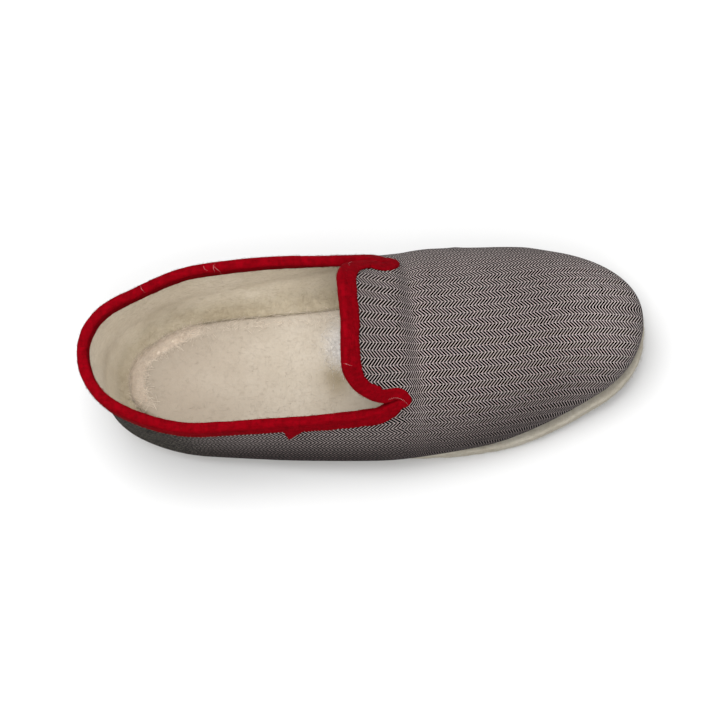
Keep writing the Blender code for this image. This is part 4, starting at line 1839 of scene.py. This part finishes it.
@dataclass(frozen=True)
class Binding:
    """Felt tape folded over the cut edge, with the tucked end that shows under its outer edge."""

    last: Last
    edge: CutEdge
    felt: float = 1.1
    gap: float = 0.35
    depth: float = 5.4
    inner_depth: float = 4.4
    collar_depth: tuple[Pair, ...] = (
        Pair(-138.0, 5.4, 5.4),
        Pair(-70.0, 5.0, 5.4),
        Pair(-45.0, 4.0, 5.4),
        Pair(-20.0, 4.3, 5.4),
        Pair(0.0, 4.8, 5.4),
        Pair(7.0, 3.9, 5.0),
        Pair(12.0, 2.6, 4.0),
    )
    flank_depth: Sides = Sides(7.0, 7.4)
    tip_depth: Sides = Sides(4.1, 6.2)
    fullness: float = 1.4
    tail_x: float = -40.2
    tail_half_length: float = 3.9
    tail_drop: float = 10.0
    tail_slant: float = 0.74
    scallop: float = 0.14
    scallop_length: float = 11.0
    inner_shift: float = 1.0
    outer_lumps: Lumps = Lumps(0.3, 6.0, 5.0)
    inner_lumps: Lumps = Lumps(0.3, 6.0, 8.0)
    puff: tuple[Lumps, ...] = (Lumps(0.14, 7.0, 11.0), Lumps(0.10, 3.0, 12.0))
    tip_along: Ramp = Ramp(2.0, 9.0)
    tip_down: Ramp = Ramp(20.0, 10.0)
    flank_down: Ramp = Ramp(14.0, 14.0)
    tab_turn: float = 0.8
    shoulder: float = 0.8
    crown: float = 0.9
    cut_round: float = 0.45
    cut_from: float = 0.86
    last_row: float = 0.88
    face_rows: int = 6
    top_rows: int = 9

    def wave(self, run: Array, shift: float) -> Array:
        """Slight waves of the tape's cut edge along its run."""
        return self.scallop * np.sin(2 * np.pi * run / self.scallop_length + shift)

    def build(self, finishes: Finishes) -> bpy.types.Object:
        """Builds the tape.

        Args:
            finishes: All finishes.

        Returns:
            The tape.
        """
        last, loop = self.last, self.edge.loop()
        near_tail = np.clip(1 - np.abs(loop.t - self.tail_x) / self.tail_half_length, 0, 1)
        tail = self.tail_drop * near_tail * (loop.side < 0)
        edge = last.lay(loop.t, loop.side, loop.distance)
        steps = np.linalg.norm(np.diff(edge, axis=0, append=edge[:1]), axis=1)
        run = np.append(0, np.cumsum(steps)[:-1])
        wave = self.wave(run, 0.0) + self.outer_lumps.over(edge)
        inner_wave = self.wave(run, self.inner_shift) + self.inner_lumps.over(edge)
        outer = self.face(loop, self.outer_depth(loop) + tail + wave, tail * self.tail_slant)
        inner = self.face(loop, self.inner_depth + inner_wave, np.zeros(len(tail)))
        near, far = self.gap, (self.gap + self.felt + rough(edge, self.puff))[:, None]
        half = last.wall / 2

        top, normal = outer[0]
        inward = unit(last.lay(*loop.inside(1.0)) - top)
        middle = top - normal * half
        rings = [point + out * self.rounded(far, near, k) for k, (point, out) in enumerate(outer)][::-1]
        for turn in np.linspace(0, np.pi, self.top_rows + 2)[1:-1]:
            aside = normal * (half + far) * np.sign(np.cos(turn)) * np.abs(np.cos(turn)) ** self.shoulder
            rings.append(middle + aside - inward * far * self.fullness * np.sin(turn) ** self.crown)
        for k, (point, out) in enumerate(inner):
            rings.append(point - out * (last.wall + self.rounded(far, near, k)))
        visible = len(rings) * len(loop.t)
        rings += [point - out * (last.wall + near) for point, out in reversed(inner)]
        corner = normal * (half + near)
        rings += [middle - corner - inward * near, middle + corner - inward * near]
        rings += [point + out * near for point, out in outer]
        faces = ring_faces(len(rings), len(loop.t), closed=True)
        tape = piece_from("edge_binding_felt", np.concatenate(rings), faces, finishes.binding)
        set_values(tape, FLUFF, (np.arange(len(tape.data.vertices)) < visible).astype(float))
        weld(tape, outward=True)
        settle(tape, "edge_binding", "edge_binding")
        return tape

    def outer_depth(self, loop: EdgeLoop) -> Array:
        """Depth of the tape's outer face: by the collar's table, or deeper on the tab's flanks.

        Args:
            loop: The cut edge.

        Returns:
            The depth at each point of the edge.
        """
        collar = by_side(self.collar_depth, loop.t, loop.side)
        flank = self.flank_depth.by_sign(loop.side)
        tip = self.tip_along.of(loop.t) * self.tip_down.of(loop.distance)
        tab = self.depth + (flank - self.depth) * self.flank_down.of(loop.distance)
        tab = tab + (self.tip_depth.by_sign(loop.side) - tab) * tip
        on_tab = smooth_step((1 - loop.inward_distance) * self.tab_turn)
        return collar + (tab - collar) * on_tab

    def rounded(self, far: Array, near: float, row: int) -> Array:
        """Height of the tape's face above the wall, rounded off at its cut edge."""
        share = np.clip((row / self.face_rows - self.cut_from) / (1 - self.cut_from), 0, 1)
        return far - (far - near) * self.cut_round * share

    def face(self, loop: EdgeLoop, depth: Array, slide: Array) -> list[tuple[Array, Array]]:
        """Places under one face of the tape.

        Args:
            loop: The cut edge.
            depth: How far the face reaches down from the edge.
            slide: How far its lower edge is moved back along the slipper.

        Returns:
            Wall points and normals, row by row from the edge down.
        """
        found = []
        for share in np.append(np.linspace(0, self.last_row, self.face_rows), 1.0):
            t, side, distance = loop.inside(depth * share)
            place = t - slide * share, side, distance
            found.append((self.last.lay(*place), self.last.outward(*place)))
        return found


class PlateRow(NamedTuple):
    """A ring of a plate: share of the way out from the spine, inset from the edge, lift, and which face."""

    share: float
    inset: float
    lift: float
    on_top: bool


@dataclass(frozen=True)
class Plate:
    """A sole-shaped plate: rings from the middle of its underside round its edge to the middle of its top."""

    last: Last
    stations: int
    flat_rows: int
    round_rows: int = 6
    side_rows: int = 5

    def loop(self) -> tuple[Array, Array]:
        """Goes once round the plate.

        Returns:
            Stations, and the sign of the side of each.
        """
        stations = np.linspace(self.last.first_station, self.last.last_station, self.stations)
        t = np.append(stations, stations[-2:0:-1])
        side = np.append(np.full(self.stations, -1.0), np.full(self.stations - 2, 1.0))
        return t, side

    def rings(
        self,
        offset: Array,
        rows: list[PlateRow],
        low: Callable[[Array], Array],
        high: Callable[[Array], Array],
    ) -> Array:
        """Rings of points.

        Args:
            offset: Distance of the plate's edge outside the widest outline, for each station.
            rows: The rings' rows.
            low: Height of the underside, as a function of x.
            high: Height of the top, as a function of x.

        Returns:
            The points of every ring.
        """
        t, side = self.loop()
        start, _ = self.last.ray(t, side)
        widest, out = self.last.outline(t, side)
        found = []
        for row in rows:
            rim = widest + out * (offset - row.inset)[:, None]
            plan = start + (rim - start) * row.share
            height = high if row.on_top else low
            found.append(np.column_stack([plan, height(plan[:, 0]) + row.lift]))
        return np.array(found)

    def rows(self, thickness: float, edge_round: float) -> list[PlateRow]:
        """Rows of a plate with a rounded edge.

        Args:
            thickness: Thickness of the plate.
            edge_round: Radius of its edges.

        Returns:
            The rows, from the middle of the underside to the middle of the top.
        """
        turns = np.linspace(0, np.pi / 2, self.round_rows)
        shares = np.linspace(0, 1, self.flat_rows)[:-1]
        rows = [PlateRow(share, edge_round, 0.0, False) for share in shares]
        for a in turns:
            rows.append(PlateRow(1.0, edge_round * (1 - np.sin(a)), edge_round * (1 - np.cos(a)), False))
        side_rise = thickness - 2 * edge_round
        for k in range(1, self.side_rows):
            rows.append(PlateRow(1.0, 0.0, edge_round + side_rise * k / self.side_rows, False))
        for a in turns:
            rows.append(PlateRow(1.0, edge_round * (1 - np.cos(a)), -edge_round * (1 - np.sin(a)), True))
        return rows + [PlateRow(share, edge_round, 0.0, True) for share in shares[::-1]]


@dataclass(frozen=True)
class Sole:
    """Thick felt sole."""

    last: Last
    stations: int = 220
    flat_rows: int = 9
    edge_round: float = 1.6
    edge_lumps: tuple[Lumps, ...] = (Lumps(0.30, 5.0, 21.0), Lumps(0.18, 2.2, 22.0))
    fluff_from: float = 2.4
    edge: tuple[Pair, ...] = (
        Pair(-126.0, -4.5, -4.5),
        Pair(-30.0, -6.4, -6.0),
        Pair(10.0, -5.0, -3.0),
        Pair(40.0, -0.9, -1.5),
        Pair(85.0, 4.0, 1.0),
        Pair(100.0, 4.7, 1.5),
        Pair(116.0, 5.8, 2.0),
        Pair(127.0, 4.6, 2.2),
        Pair(134.0, 2.2, 2.2),
    )

    def build(self, finishes: Finishes) -> bpy.types.Object:
        """Builds the sole, with a slightly rough edge.

        Args:
            finishes: All finishes.

        Returns:
            The sole.
        """
        last = self.last
        plate = Plate(last, self.stations, self.flat_rows)
        t, side = plate.loop()
        widest, _ = last.outline(t, side)
        offset = by_side(self.edge, widest[:, 0], side)
        rows = plate.rows(last.sole_thickness, self.edge_round)
        rings = plate.rings(offset, rows, last.sole_bottom, last.sole_top)
        away = np.column_stack([unit(widest - last.ray(t, side)[0]), np.zeros(len(t))])
        on_rim = np.array([row.share == 1.0 for row in rows])[:, None]
        rings = rings + away[None] * (rough(rings, self.edge_lumps) * on_rim)[..., None]
        sole = piece_from("felt_sole_plate", rings, ring_faces(len(rings), len(t)), finishes.sole)
        fluffy = on_rim & (rings[..., 2] > last.sole_bottom(rings[..., 0]) + self.fluff_from)
        set_values(sole, FLUFF, fluffy)
        weld(sole, outward=True)
        settle(sole, "felt_sole", "felt_sole")
        return sole


@dataclass(frozen=True)
class Insole:
    """Woolly insole, with a fluffy cut edge that shows round the heel."""

    last: Last
    stations: int = 170
    flat_rows: int = 26
    thickness: float = 5.0
    clearance: float = 2.8
    edge_round: float = 1.4
    lip_inset: float = 1.9
    lip_round: float = 2.4
    lip_drop: float = 3.0
    lip_foot: float = 0.3
    lip_rows: int = 8
    top_lumps: tuple[Lumps, ...] = (Lumps(0.28, 16.0, 31.0), Lumps(0.14, 5.0, 32.0))
    top_dip: float = -0.4
    top_swell: float = 0.25
    fluff_to_x: float = 15.0
    shade: Spot = Spot(-14.5, -6.0, 7.0, 8.5, 0.85)
    # Pale patch beside the tab: white tufts, and painted light against the tab's shadow.
    tuft_and_light: Spot = Spot(-12.0, 9.5, 5.0, 9.0)
    # Darker towards the heel.
    heel_darkening: Ramp = Ramp(-25.0, -65.0)
    fringe_heel: Ramp = Ramp(-70.0, -22.0)
    fringe_near: Ramp = Ramp(-14.0, 12.0)
    fringe_far: float = 0.08
    far_along: Ramp = Ramp(15.0, -10.0)
    far_across: Ramp = Ramp(0.0, 12.0)
    fringe_inward: Ramp = Ramp(5.0, -2.5)

    def low(self, x: Array) -> Array:
        """Height of the insole's underside."""
        return self.last.sole_top(x) + self.last.seat_gap

    def high(self, x: Array) -> Array:
        """Height of the insole's top."""
        return self.low(x) + self.thickness

    def rings(self, plate: Plate) -> tuple[Array, int]:
        """Rings of the insole, with a soft rounded lip inside its edge.

        Args:
            plate: The plate that it is made as.

        Returns:
            The points of every ring, and the number of the first ring of the lip.
        """
        t, side = plate.loop()
        widest, _ = self.last.outline(t, side)
        offset = -at(self.last.seam_inset, widest[:, 0]) - self.clearance
        inside = offset - self.lip_inset - by_side(self.last.roll_widen, widest[:, 0], side)
        rows = plate.rows(self.thickness, self.edge_round)
        edge = [row for row in rows if not row.on_top]
        edge.append(PlateRow(1.0, self.lip_foot, -self.lip_drop, True))
        top = []
        for a in np.linspace(0, np.pi / 2, self.lip_rows):
            top.append(PlateRow(1.0, self.lip_round * (1 - np.cos(a)), self.lip_drop * (np.sin(a) - 1), True))
        flat = [row.share for row in rows if row.on_top and row.share < 1.0]
        top += [PlateRow(share, self.lip_round, 0.0, True) for share in flat]
        below = plate.rings(offset, edge, self.low, self.high)
        return np.concatenate([below, plate.rings(inside, top, self.low, self.high)]), len(below)

    def build(self, finishes: Finishes) -> bpy.types.Object:
        """Builds the insole.

        Args:
            finishes: All finishes.

        Returns:
            The insole.
        """
        plate = Plate(self.last, self.stations, self.flat_rows)
        rings, first_lip = self.rings(plate)
        on_top = (np.arange(len(rings)) >= first_lip)[:, None]
        soft = np.clip(rough(rings, self.top_lumps), self.top_dip, self.top_swell)
        rings[..., 2] += np.where(on_top, soft, 0.0)
        insole = piece_from("insole_wool", rings, ring_faces(*rings.shape[:2]), finishes.insole)

        x, y = rings[..., 0], rings[..., 1]
        set_values(insole, FLUFF, on_top & (x < self.fluff_to_x))
        set_values(insole, SHADE, self.shade.of(x, y))
        set_values(insole, TUFT_AND_LIGHT, on_top * self.tuft_and_light.of(x, y))
        set_values(insole, HEEL_DARKENING, self.heel_darkening.of(x))
        lip = rings[first_lip + self.lip_rows - 1, :, :2]
        inward = np.linalg.norm(rings[..., :2] - lip, axis=-1)
        round_heel = self.fringe_heel.of(x) * self.fringe_near.of(y)
        along_far = self.fringe_far * self.far_along.of(x) * self.far_across.of(y)
        fringe = np.maximum(round_heel, along_far)
        set_values(insole, FRINGE, on_top * fringe * self.fringe_inward.of(inward))
        weld(insole, outward=True)
        settle(insole, "insole", "insole")
        return insole


class Strand(NamedTuple):
    """A stray fibre: places in plan of its start, of the bend in it and of its end."""

    start: tuple[float, float]
    bend: tuple[float, float]
    end: tuple[float, float]


@dataclass(frozen=True)
class Lint:
    """Pale stray fibres that lie on the binding."""

    strands: tuple[Strand, ...] = (
        Strand((6.8, -35.4), (12.5, -33.0), (16.6, -37.4)),
        Strand((-12.6, -22.6), (-10.4, -23.9), (-8.4, -23.8)),
        Strand((-4.4, -24.8), (-3.0, -25.0), (-2.2, -23.2)),
        Strand((-3.4, 32.0), (-5.8, 30.2), (-5.0, 27.4)),
        Strand((-70.8, 38.6), (-73.4, 40.2), (-72.6, 41.6)),
        Strand((-64.8, 38.4), (-66.8, 39.0), (-68.4, 41.4)),
        Strand((-67.6, 38.4), (-69.0, 39.8), (-67.4, 42.2)),
        Strand((-101.0, 29.5), (-103.0, 31.0), (-102.6, 33.0)),
    )
    radius: float = 0.048
    end_share: float = 0.35
    samples: int = 14
    sides: int = 5
    smoothing: int = 5
    above: float = 150.0

    def rest(self, plan: Array) -> Array:
        """Rests places on the slipper from above.

        Args:
            plan: Places in plan.

        Returns:
            The points at which they meet it.
        """
        graph = bpy.context.evaluated_depsgraph_get()
        points = []
        for x, y in plan:
            origin, down = Vector((x, y, self.above)) * MM, Vector((0.0, 0.0, -1.0))
            hit, place, *_ = bpy.context.scene.ray_cast(graph, origin, down)
            points.append((x, y, place.z / MM if hit else 0.0))
        return np.array(points)

    def tube(self, strand: Strand) -> Array:
        """Surface of a fibre, thinner at its ends.

        Args:
            strand: The fibre.

        Returns:
            Rings of points round it.
        """
        q = np.linspace(0, 1, self.samples)[:, None]
        path = self.rest(bowed(*(np.array(place) for place in strand), q))
        padded = np.pad(path[:, 2], self.smoothing // 2, mode="edge")
        lift = np.convolve(padded, np.full(self.smoothing, 1 / self.smoothing), mode="valid")
        path[:, 2] = np.maximum(path[:, 2], lift) + self.radius
        along = unit(np.gradient(path, axis=0))
        aside = unit(np.cross(along, (0.0, 0.0, 1.0)))
        up = np.cross(aside, along)
        turns = np.linspace(0, 2 * np.pi, self.sides, endpoint=False)
        thick = self.radius * (self.end_share + (1 - self.end_share) * np.sin(np.pi * q))
        ring = aside[:, None] * np.cos(turns)[None, :, None] + up[:, None] * np.sin(turns)[None, :, None]
        return path[:, None] + ring * thick[..., None]

    def build(self, finishes: Finishes) -> bpy.types.Object:
        """Builds all fibres as one piece.

        Args:
            finishes: All finishes.

        Returns:
            The fibres.
        """
        count = self.samples * self.sides
        ends = [tuple(range(self.sides)), tuple(range(count - self.sides, count))]
        quads = ring_faces(self.samples, self.sides) + ends
        points, faces = [], []
        for k, strand in enumerate(self.strands):
            points.append(self.tube(strand).reshape(-1, 3))
            faces += [tuple(k * count + corner for corner in face) for face in quads]
        lint = piece_from("stray_fibres", np.concatenate(points), faces, finishes.lint)
        weld(lint, outward=True)
        settle(lint, "edge_binding")
        return lint


class Lamp(NamedTuple):
    """A square soft lamp that faces the slipper: its place and size in metres, and its power."""

    name: str
    place: tuple[float, float, float]
    size: float
    power: float


@dataclass(frozen=True)
class Studio:
    """Pale floor, soft light and the camera."""

    azimuth: float = -5.5
    elevation: float = 70.0
    distance: float = 1200.0
    target: tuple[float, float, float] = (-3.0, -2.3, 25.0)
    lens: float = 126.0
    sensor: float = 36.0
    floor_size: float = 6.0
    floor_colour: Colour = (0.58, 0.58, 0.58)
    surround: float = 0.60
    lamps: tuple[Lamp, ...] = (
        Lamp("soft lamp", (-0.3, 0.18, 1.33), 1.2, 27.0),
        Lamp("fill lamp", (0.0, -0.95, 1.2), 0.8, 9.5),
    )

    def build(self) -> None:
        """Builds the stage."""
        self.build_floor()
        self.build_light()
        self.build_camera()
        bpy.context.scene.view_settings.view_transform = "Standard"

    def build_floor(self) -> None:
        """Builds the floor."""
        half = self.floor_size / 2
        corners = [(-half, -half, 0), (half, -half, 0), (half, half, 0), (-half, half, 0)]
        mesh = bpy.data.meshes.new("floor")
        mesh.from_pydata(corners, [], [(0, 1, 2, 3)])
        constants = {"Base Color": (*self.floor_colour, 1.0), "Roughness": 0.7, "Specular IOR Level": 0.1}
        mesh.materials.append(FinishSheet("pale floor", constants).material)
        floor = added("floor", mesh)

    def build_light(self) -> None:
        """Builds a white surround, a soft lamp above and behind, and a weaker one in front."""
        world = bpy.data.worlds.new("surround")
        world.use_nodes = True
        sockets = world.node_tree.nodes["Background"].inputs
        sockets["Color"].default_value = (1.0, 1.0, 1.0, 1.0)
        sockets["Strength"].default_value = self.surround
        bpy.context.scene.world = world
        for lamp in self.lamps:
            data = bpy.data.lights.new(lamp.name, "AREA")
            data.size = lamp.size
            data.energy = lamp.power
            made = added(lamp.name, data)
            made.location = lamp.place
            made.rotation_euler = (-Vector(lamp.place)).to_track_quat("-Z", "Y").to_euler()

    def build_camera(self) -> None:
        """Builds the camera."""
        a, e = np.radians(self.azimuth), np.radians(self.elevation)
        back = Vector((np.sin(a) * np.cos(e), -np.cos(a) * np.cos(e), np.sin(e)))
        data = bpy.data.cameras.new("camera")
        data.lens = self.lens
        data.sensor_width = self.sensor
        camera = added("camera", data)
        camera.location = (Vector(self.target) + back * self.distance) * MM
        camera.rotation_euler = back.to_track_quat("Z", "Y").to_euler()
        bpy.context.scene.camera = camera


BINDING_FUZZ = FibreField("binding_fuzz", density=950000.0, length=1.0, thickness=0.03, lean=0.8, seed=4)
LINING_FUZZ = FibreField("lining_fuzz", density=700000.0, length=2.4, thickness=0.03, lean=1.2, seed=5)
INSOLE_FUZZ = FibreField(
    "insole_fuzz", density=450000.0, length=2.2, thickness=0.025, lean=1.35, seed=6, bend=0.15
)
INSOLE_FRINGE = FibreField(
    "insole_fringe", density=5000000.0, length=3.4, thickness=0.045, lean=0.95, seed=7, mask=FRINGE
)
INSOLE_TUFT = FibreField(
    "insole_tuft", density=2500000.0, length=3.2, thickness=0.04, lean=1.0, seed=9, mask=TUFT_AND_LIGHT
)
SOLE_FUZZ = FibreField("sole_fuzz", density=800000.0, length=1.4, thickness=0.035, lean=0.6, seed=8)


def main() -> None:
    """Builds the slipper's pieces in order, then the stage."""
    logging.basicConfig(level=logging.INFO, format="%(message)s")
    finishes = Finishes.make()
    last = Last()
    edge = CutEdge(last)
    sole = Sole(last).build(finishes)
    insole = Insole(last).build(finishes)
    upper = Upper(last, edge)
    upper.build_cloth(finishes)
    lining = upper.build_lining(finishes)
    tape = Binding(last, edge).build(finishes)
    Lint().build(finishes)
    BINDING_FUZZ.grow(tape, finishes.red_fibre, "edge_binding")
    LINING_FUZZ.grow(lining, finishes.fleece_fibre, "upper")
    INSOLE_FUZZ.grow(insole, finishes.insole_fibre, "insole")
    INSOLE_FRINGE.grow(insole, finishes.rim_fibre, "insole")
    INSOLE_TUFT.grow(insole, finishes.tuft_fibre, "insole")
    SOLE_FUZZ.grow(sole, finishes.sole_fibre, "felt_sole")
    Studio().build()
    bpy.context.view_layer.update()


if __name__ == "__main__":
    main()
